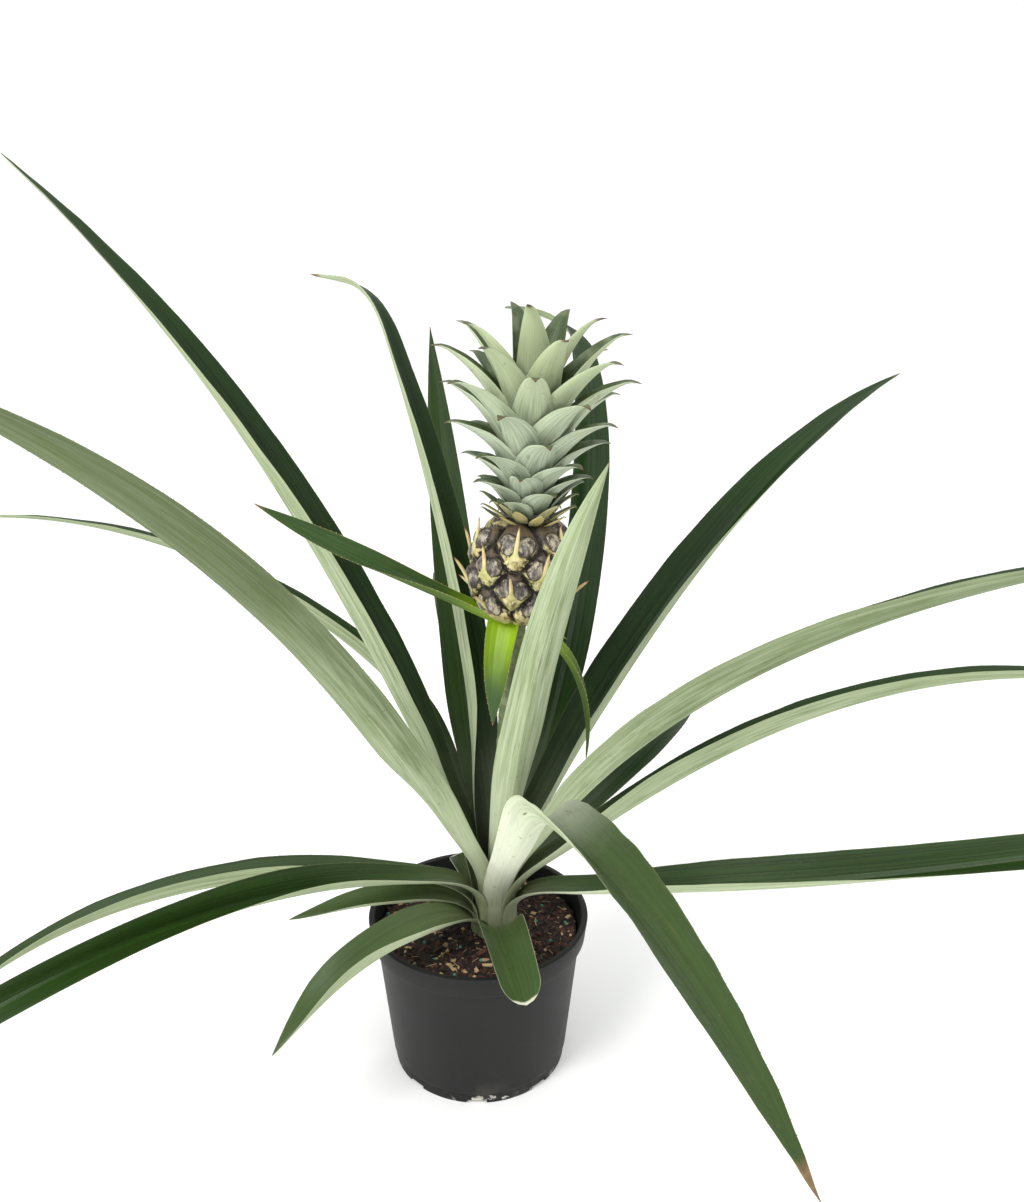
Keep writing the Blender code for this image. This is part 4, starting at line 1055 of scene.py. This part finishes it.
potLook = {
    "plastic": (tone(12, 13, 12), tone(23, 24, 22)),
    "rubbed": tone(58, 60, 58),
    "chip": tone(206, 202, 190),
    "dust": tone(120, 116, 104),
    "chipFront": (0.05, -0.99, 0.0),     # the side where the foot is chipped most
}
potSizes = {
    "rimRadius": 0.065, "height": 0.0975, "footRadius": 0.0515, "wall": 0.0015,
    "lipHeight": 0.013, "lipStep": 0.0045, "lipWall": 0.0036, "lipDraft": 0.0016, "edge": 0.0010,
    "footHeight": 0.007, "footStep": 0.0012, "footWidth": 0.0045, "recess": 0.003,
    "padRadius": 0.014, "padFlare": 0.0020, "cove": 0.0045,
    "notches": 8, "notchWidth": 0.011, "notchHeight": 0.0022, "notchTurn": -93.0,
    "holes": 6, "holeRadius": 0.0035, "holeCircle": 0.031, "holeDepth": 0.02,
    "segments": 144, "softEdge": 0.0007, "sharp": 35.0,
}


def potPaint(g):
    look, place = potLook, g.place()
    height = g.parts(place)[2]
    broad, fine = g.noise(place, 22.0, 3.0), g.noise(place, 900.0)
    rubbed = g.noise(g.stretched(place, 1.0, 1.0, 5.0), 55.0, 4.0, 0.65)
    way = g.vectorMaths("NORMALIZE", place)
    front = g.vectorMaths("DOT_PRODUCT", way, look["chipFront"], output="Value")
    low = (1.0 - g.ease(height, 0.0015, 0.0085)) * (0.35 + g.ease(front, 0.93, 0.985) * 0.65)
    chips = g.ease(g.noise(place, 130.0, 4.0, 0.7) + low * 0.18 - 0.04, 0.63, 0.68) * low
    dust = g.ease(g.noise(place, 60.0, 3.0), 0.5, 0.8) * (1.0 - g.ease(height, 0.0, 0.03))
    colour = g.coats(
        g.mix(g.ease(broad, 0.35, 0.7), *look["plastic"]),
        (g.ease(rubbed, 0.62, 0.8) * 0.3, look["rubbed"]),
        (chips, look["chip"]),
        (dust * 0.25, look["dust"]))
    return {"Base Color": colour, "Roughness": 0.55 + (broad - 0.5) * 0.2 + chips * 0.3,
            "Normal": g.bump(0.25, 0.0003, fine * 0.6 + rubbed * 0.4)}


def softened(profile, radius, steps=3):
    # rounds the corners of an open section
    line = [profile[0]]
    for before, corner, after in zip(profile, profile[1:], profile[2:]):
        corner, back, on = Vector(corner), Vector(before), Vector(after)
        reach = min(radius, (back - corner).length * 0.45, (on - corner).length * 0.45)
        first = corner + (back - corner).normalized() * reach
        last = corner + (on - corner).normalized() * reach
        for k in range(steps + 1):
            t = k / steps
            line.append(tuple(first * (1 - t) ** 2 + corner * (2 * t * (1 - t)) + last * t ** 2))
    return line + [profile[-1]]


def wallRadius(height, inside=0.0):
    # of the pot's outside at a height, or of what lies this far inside it
    s = potSizes
    top = s["height"] - s["lipHeight"]
    share = (height - s["footHeight"]) / (top - s["footHeight"])
    return blend(s["footRadius"] + s["footStep"], s["rimRadius"] - s["lipStep"], share) - inside


def potProfile():
    s = potSizes
    rim, top, edge, draft = s["rimRadius"], s["height"], s["edge"], s["lipDraft"]
    foot, footTop, pad = s["footRadius"], s["footHeight"], s["padRadius"]
    wall, recess = s["wall"], s["recess"]
    lip, floor = top - s["lipHeight"], recess + wall
    ledge, bend = lip - 2.0 * edge, floor + s["cove"]
    return [
        (0.0, wall), (pad - edge, wall), (pad + edge, floor),
        (wallRadius(floor, wall) - s["cove"], floor), (wallRadius(bend, wall), bend),
        (wallRadius(ledge, wall), ledge), (rim - s["lipWall"] - draft, lip + edge),
        (rim - s["lipWall"], top), (rim, top), (rim - draft, lip), (wallRadius(lip), lip),
        (wallRadius(footTop + edge), footTop + edge), (foot, footTop),
        (foot, 0.0), (foot - s["footWidth"], 0.0), (foot - s["footWidth"] - edge, recess),
        (pad + s["padFlare"], recess), (pad, 0.0), (0.0, 0.0)]


def makePot():
    s = potSizes
    cutters = bpy.data.collections.new("cutters")
    scene.collection.children.link(cutters)

    def cut(count, firstTurn, radius, size, isRound):
        # a ring of holes or notches
        for k in range(count):
            bm = bmesh.new()
            if isRound:
                bmesh.ops.create_cone(bm, cap_ends=True, segments=24, radius1=0.5, radius2=0.5, depth=1.0)
            else:
                bmesh.ops.create_cube(bm, size=1.0)
            bmesh.ops.scale(bm, vec=size, verts=bm.verts)
            turn = Matrix.Rotation(firstTurn + 2.0 * pi * k / count, 4, "Z")
            bm.transform(turn @ Matrix.Translation((radius, 0.0, 0.0)))
            cutters.objects.link(bpy.data.objects.new("cutter", bmeshDone(bm, "cutter")))
    cut(s["notches"], radians(s["notchTurn"]), s["footRadius"],
        (s["footWidth"] * 3.0, s["notchWidth"], s["notchHeight"] * 2.0), False)
    wide = s["holeRadius"] * 2.0
    cut(s["holes"], 0.0, s["holeCircle"], (wide, wide, s["holeDepth"]), True)
    thing = addObject("pot_blank", turned("pot", softened(potProfile(), s["softEdge"]), s["segments"]))
    carve = thing.modifiers.new("Cut", "BOOLEAN")
    carve.operation = "DIFFERENCE"
    carve.operand_type = "COLLECTION"
    carve.collection = cutters
    carve.solver = "EXACT"
    mesh = plainMesh("pot", thing, finish("PotPlastic", potPaint, Specular_IOR_Level=0.28))
    for each in list(cutters.objects):
        bpy.data.objects.remove(each)
    bpy.data.collections.remove(cutters)
    mesh.shade_smooth()
    mesh.set_sharp_from_angle(angle=radians(s["sharp"]))
    piece("pot_shell", mesh, "pot")


makePot()
print("pot made")


soilLook = {
    "earth": (tone(24, 13, 9), tone(84, 48, 33)),
    "paleBark": tone(186, 160, 118),
    "fibre": (tone(150, 124, 82), tone(206, 186, 134)),
    "bead": (tone(42, 110, 96), tone(70, 150, 128)),
}
soilSizes = {
    "Lumps": 0.0020, "Lump Scale": 60.0, "Crumbs": 0.0012, "Crumb Scale": 330.0, "Chip Spacing": 0.0021,
    "Chip Size": 0.0034, "Fibre Spacing": 0.0105, "Fibre Size": 0.0085, "Bead Spacing": 0.017,
    "Bead Size": 0.0026, "Seed": 0,
}
soilPlug = {
    "gap": 0.0004, "floorGap": 0.0003, "coveGap": 0.0006,      # left free between the soil and the pot
    "shoulder": 0.0008, "lean": 0.0001, "drop": 0.0030, "rings": 30, "around": 120,
}


def soilPaint(g):
    look, place = soilLook, g.place()
    grain, fibre, bead = g.attribute("grain"), g.attribute("fibre"), g.attribute("bead")
    broad, fine = g.noise(place, 120.0, 3.0), g.noise(place, 1400.0, 3.0, 0.6)
    colour = g.coats(
        g.mix(g.ease(broad * 0.5 + grain * 0.6, 0.3, 0.8), *look["earth"]),
        (g.ease(grain, 0.9, 0.95) * (1.0 - fibre), look["paleBark"]),
        (fibre, g.mix(grain, *look["fibre"])),
        (bead, g.mix(grain, *look["bead"])))
    return {"Base Color": colour, "Roughness": 0.8 + (fine - 0.5) * 0.3 - bead * 0.35,
            "Normal": g.bump(0.8, 0.0005, fine * 0.7 + broad * 0.3)}


def soilTree(top):
    g, p = geometryTree("Soil", {**soilSizes, "Blank": "Object", "Material": "Material"})
    blank = g.node("GeometryNodeObjectInfo", {"Object": p["Blank"]}, "Geometry")
    place = g.node("GeometryNodeInputPosition")
    lumps = (g.noise(place, p["Lump Scale"]) - 0.5) * 2.0 * p["Lumps"]
    lumps = lumps + (g.noise(place, p["Crumb Scale"]) - 0.5) * 2.0 * p["Crumbs"]
    ground = g.node("GeometryNodeSetPosition", {
        "Geometry": blank, "Selection": g.parts(place)[2] > top - 0.0025,
        "Offset": g.vector(0.0, 0.0, lumps)})
    level = g.parts(g.node("GeometryNodeInputNormal"))[2] > 0.5
    isTop = level * (g.parts(place)[2] > top - 0.004)

    def scatter(thing, spacing, size, tilt, order, squash=None, mark=None):
        # stands a small thing all over the surface, each turned and sized by chance
        seed = p["Seed"] + order
        spread = g.node("GeometryNodeDistributePointsOnFaces", {
            "Mesh": ground, "Selection": isTop, "Distance Min": spacing, "Density Max": 400000.0,
            "Seed": seed}, "Points", distribute_method="POISSON")
        spread = g.store(spread, "grain", g.random(0.0, 1.0, seed + 11))
        if mark:
            spread = g.store(spread, mark, 1.0)
        turn = g.random((-tilt, -tilt, 0.0), (tilt, tilt, 2.0 * pi), seed + 21)
        turn = g.node("FunctionNodeEulerToRotation", {"Euler": turn})
        if squash:
            scale = g.random((0.35, 0.35, 0.3 * squash), (1.0, 1.0, squash), seed + 31)
        else:
            even = g.random(0.6, 1.0, seed + 31)
            scale = g.vector(even, even, even)
        return g.node("GeometryNodeInstanceOnPoints", {
            "Points": spread, "Instance": thing, "Rotation": turn, "Scale": g.scaled(scale, size)})
    ball, bead = [g.node("GeometryNodeMeshIcoSphere", {"Radius": 0.5, "Subdivisions": k}) for k in (1, 2)]
    block = g.node("GeometryNodeMeshCube", {"Size": (1.0, 0.55, 0.32)})
    bow = g.node("GeometryNodeCurveQuadraticBezier", {
        "Resolution": 7, "Start": (-0.5, 0.0, 0.0), "Middle": (0.0, 0.22, 0.16), "End": (0.5, 0.0, 0.0)})
    ring = g.node("GeometryNodeCurvePrimitiveCircle", {"Resolution": 4, "Radius": 0.026})
    thread = g.node("GeometryNodeCurveToMesh", {"Curve": bow, "Profile Curve": ring, "Fill Caps": True})
    everything = g.node("GeometryNodeJoinGeometry", {"Geometry": [
        ground,
        scatter(ball, p["Chip Spacing"], p["Chip Size"], 0.5, 1, squash=0.6),
        scatter(block, p["Chip Spacing"] * 2.2, p["Chip Size"] * 1.9, 0.5, 2, squash=0.7),
        scatter(thread, p["Fibre Spacing"], p["Fibre Size"], 0.35, 3, mark="fibre"),
        scatter(bead, p["Bead Spacing"], p["Bead Size"], 0.2, 4, mark="bead")]})
    return endTree(g, everything, p["Material"])


def makeSoil():
    s, plug, wall = potSizes, soilPlug, potSizes["wall"]
    edge, floor = wallRadius(soilTop, wall) - plug["gap"], s["recess"] + wall + plug["floorGap"]
    bend, gap = floor + s["cove"], wall + plug["coveGap"]
    profile = [(edge * k / plug["rings"], soilTop) for k in range(plug["rings"])]
    profile += [(edge - plug["shoulder"], soilTop), (edge - plug["lean"], soilTop - plug["drop"]),
                (wallRadius(bend, gap), bend), (wallRadius(floor, gap) - s["cove"], floor), (0.0, floor)]
    blank = addObject("soil_blank", turned("soil_blank", profile, plug["around"]))
    mesh = grow("soil", soilTree(soilTop), {"Blank": blank, "Material": finish("SoilGrains", soilPaint)})
    bpy.data.objects.remove(blank)
    piece("soil_surface", mesh, "soil")
    return len(mesh.polygons)


print("soil made:", makeSoil(), "faces")


stalkLook = {"skin": (tone(96, 112, 72), tone(146, 158, 112)), "scar": tone(92, 74, 46)}
stemLook = {"bark": (tone(46, 46, 28), tone(92, 94, 60)), "patch": tone(74, 54, 36)}
stalkSizes = {"foot": 0.0050, "top": 0.0060, "rings": 110, "around": 32, "scar": 0.0005, "pitch": 0.0085,
              "inset": (0.0008, 0.0003), "sharp": 60.0}
stemSizes = {"top": 0.0066, "foot": 0.0105, "edge": 0.0006, "depth": 0.004, "node": 0.0004,
             "endDepth": 0.001, "endShare": 0.8, "rings": 24, "around": 48}


def stalkPaint(g):
    look, place = stalkLook, g.place()
    patch, fine = g.noise(place, 90.0, 3.0), g.noise(g.stretched(place, 1.0, 1.0, 0.15), 900.0)
    colour = g.coats(g.mix(g.ease(patch, 0.35, 0.7), *look["skin"]),
                     (g.ease(g.attribute("scar"), 0.8, 0.97) * 0.7, look["scar"]))
    return {"Base Color": colour, "Roughness": 0.6 + (fine - 0.5) * 0.2,
            "Normal": g.bump(0.4, 0.0005, fine * 0.6 + patch * 0.4)}


def stemPaint(g):
    look, place = stemLook, g.place()
    rings, patch = g.noise(g.stretched(place, 30.0, 30.0, 420.0), 1.0, 3.0), g.noise(place, 80.0, 3.0)
    colour = g.coats(g.mix(g.ease(rings, 0.35, 0.7), *look["bark"]),
                     (g.ease(patch, 0.45, 0.75) * 0.6, look["patch"]))
    return {"Base Color": colour, "Roughness": 0.7 + (patch - 0.5) * 0.2,
            "Normal": g.bump(0.5, 0.0008, rings)}


def makeStalk():
    # a leaning rod with a spiral of pressed leaf scars
    s = stalkSizes
    count, rings = s["around"], s["rings"] + 1
    share = np.repeat(np.linspace(0.0, 1.0, rings), count)
    turn = np.tile(np.arange(count) * 2.0 * pi / count, rings)
    height = blend(s["inset"][0], axis["stalkLength"] - s["inset"][1], share)
    scar = (height / s["pitch"] + turn / (2.0 * pi)) % 1.0
    radius = blend(s["foot"], s["top"], share ** 2) + s["scar"] * (scar ** 3 - 0.35)
    x = radius * np.cos(turn) + plantX + axis["stalkLean"] * height / axis["stalkLength"]
    points = np.stack([x, radius * np.sin(turn), height + stemHigh[2]], axis=1)
    faces = tubeFaces(rings, count) + [tuple(reversed(range(count))),
                                       tuple((rings - 1) * count + k for k in range(count))]
    mesh = meshFrom("stalk", points, faces, {"scar": scar}, finish("StalkSkin", stalkPaint))
    mesh.set_sharp_from_angle(angle=radians(s["sharp"]))
    piece("stalk_rod", mesh, "stalk")


def makeStem():
    # a short stout core inside the leaf bases
    s = stemSizes
    high, low = stemHigh[2], soilTop - s["depth"]
    end = max(stemLow[2], low - s["endDepth"])
    profile = [(0.0, high)]
    for k in range(s["rings"] + 1):
        wave = s["node"] * sin(k * pi * 0.5) ** 2
        profile.append((blend(s["top"], s["foot"], k / s["rings"]) + wave,
                        blend(high - s["edge"], low, k / s["rings"])))
    profile += [(s["foot"] * s["endShare"], end), (0.0, end)]
    mesh = turned("stem", profile, s["around"])
    mesh.transform(Matrix.Translation((plantX, 0.0, 0.0)))
    mesh.materials.append(finish("StemBark", stemPaint))
    mesh.shade_smooth()
    piece("stem_core", mesh, "stem")


makeStalk()
makeStem()
print("stalk and stem made")


view = {"place": (-0.0081, -0.6519, 0.5529), "pitch": 68.47, "turn": -2.47, "lens": 38.94, "near": 0.02}
stageSizes = {"floor": 3.0, "curve": 1.0, "top": 2.2, "segments": 64, "glow": 0.15}
lightAim = (0.0, 0.0, 0.2)
lights = (("key_light", (-1.1, -1.3, 1.9), 0.9, 34.0),      # name, place, size, power
          ("top_light", (0.3, 0.5, 2.2), 1.2, 5.0))
skyPower = 0.84

camera = addObject("camera", bpy.data.cameras.new("camera"))
camera.location = view["place"]
camera.rotation_euler = (radians(view["pitch"]), 0.0, radians(view["turn"]))
camera.data.lens = view["lens"]
camera.data.clip_start = view["near"]
scene.camera = camera


def whitePaint(g):
    cloud = g.noise(g.place(), 3.0)
    return {"Base Color": g.mix(cloud, (0.90, 0.90, 0.90), (0.93, 0.93, 0.93)),
            "Roughness": 0.85 + cloud * 0.1}


def stageBowl():
    # a round floor that curves up into a wall, open at the top
    s = stageSizes
    line = [(0.0, 0.0), (1.0, 0.0), (2.2, 0.0), (s["floor"], 0.0)]
    line += [(s["floor"] + s["curve"] * sin(radians(a)), s["curve"] - s["curve"] * cos(radians(a)))
             for a in range(10, 91, 10)]
    line += [(s["floor"] + s["curve"], s["top"])]
    mesh = turned("stage_bowl", line, s["segments"])
    mesh.shade_smooth()
    mesh.materials.append(finish("StageWhite", whitePaint, Emission_Color=(1.0, 1.0, 1.0),
                                 Emission_Strength=s["glow"]))
    addObject("stage_bowl", mesh)


stageBowl()
for name, place, size, power in lights:
    light = bpy.data.lights.new(name, "AREA")
    light.shape = "DISK"
    light.size = size
    light.energy = power
    made = addObject(name, light)
    made.location = place
    made.rotation_euler = (Vector(lightAim) - Vector(place)).to_track_quat("-Z", "Y").to_euler()
world = bpy.data.worlds.new("studio")
world.use_nodes = True
sky = world.node_tree.nodes["Background"].inputs
sky["Color"].default_value = (1.0, 1.0, 1.0, 1.0)
sky["Strength"].default_value = skyPower
scene.world = world
scene.view_settings.view_transform = "Standard"
print("stage set")
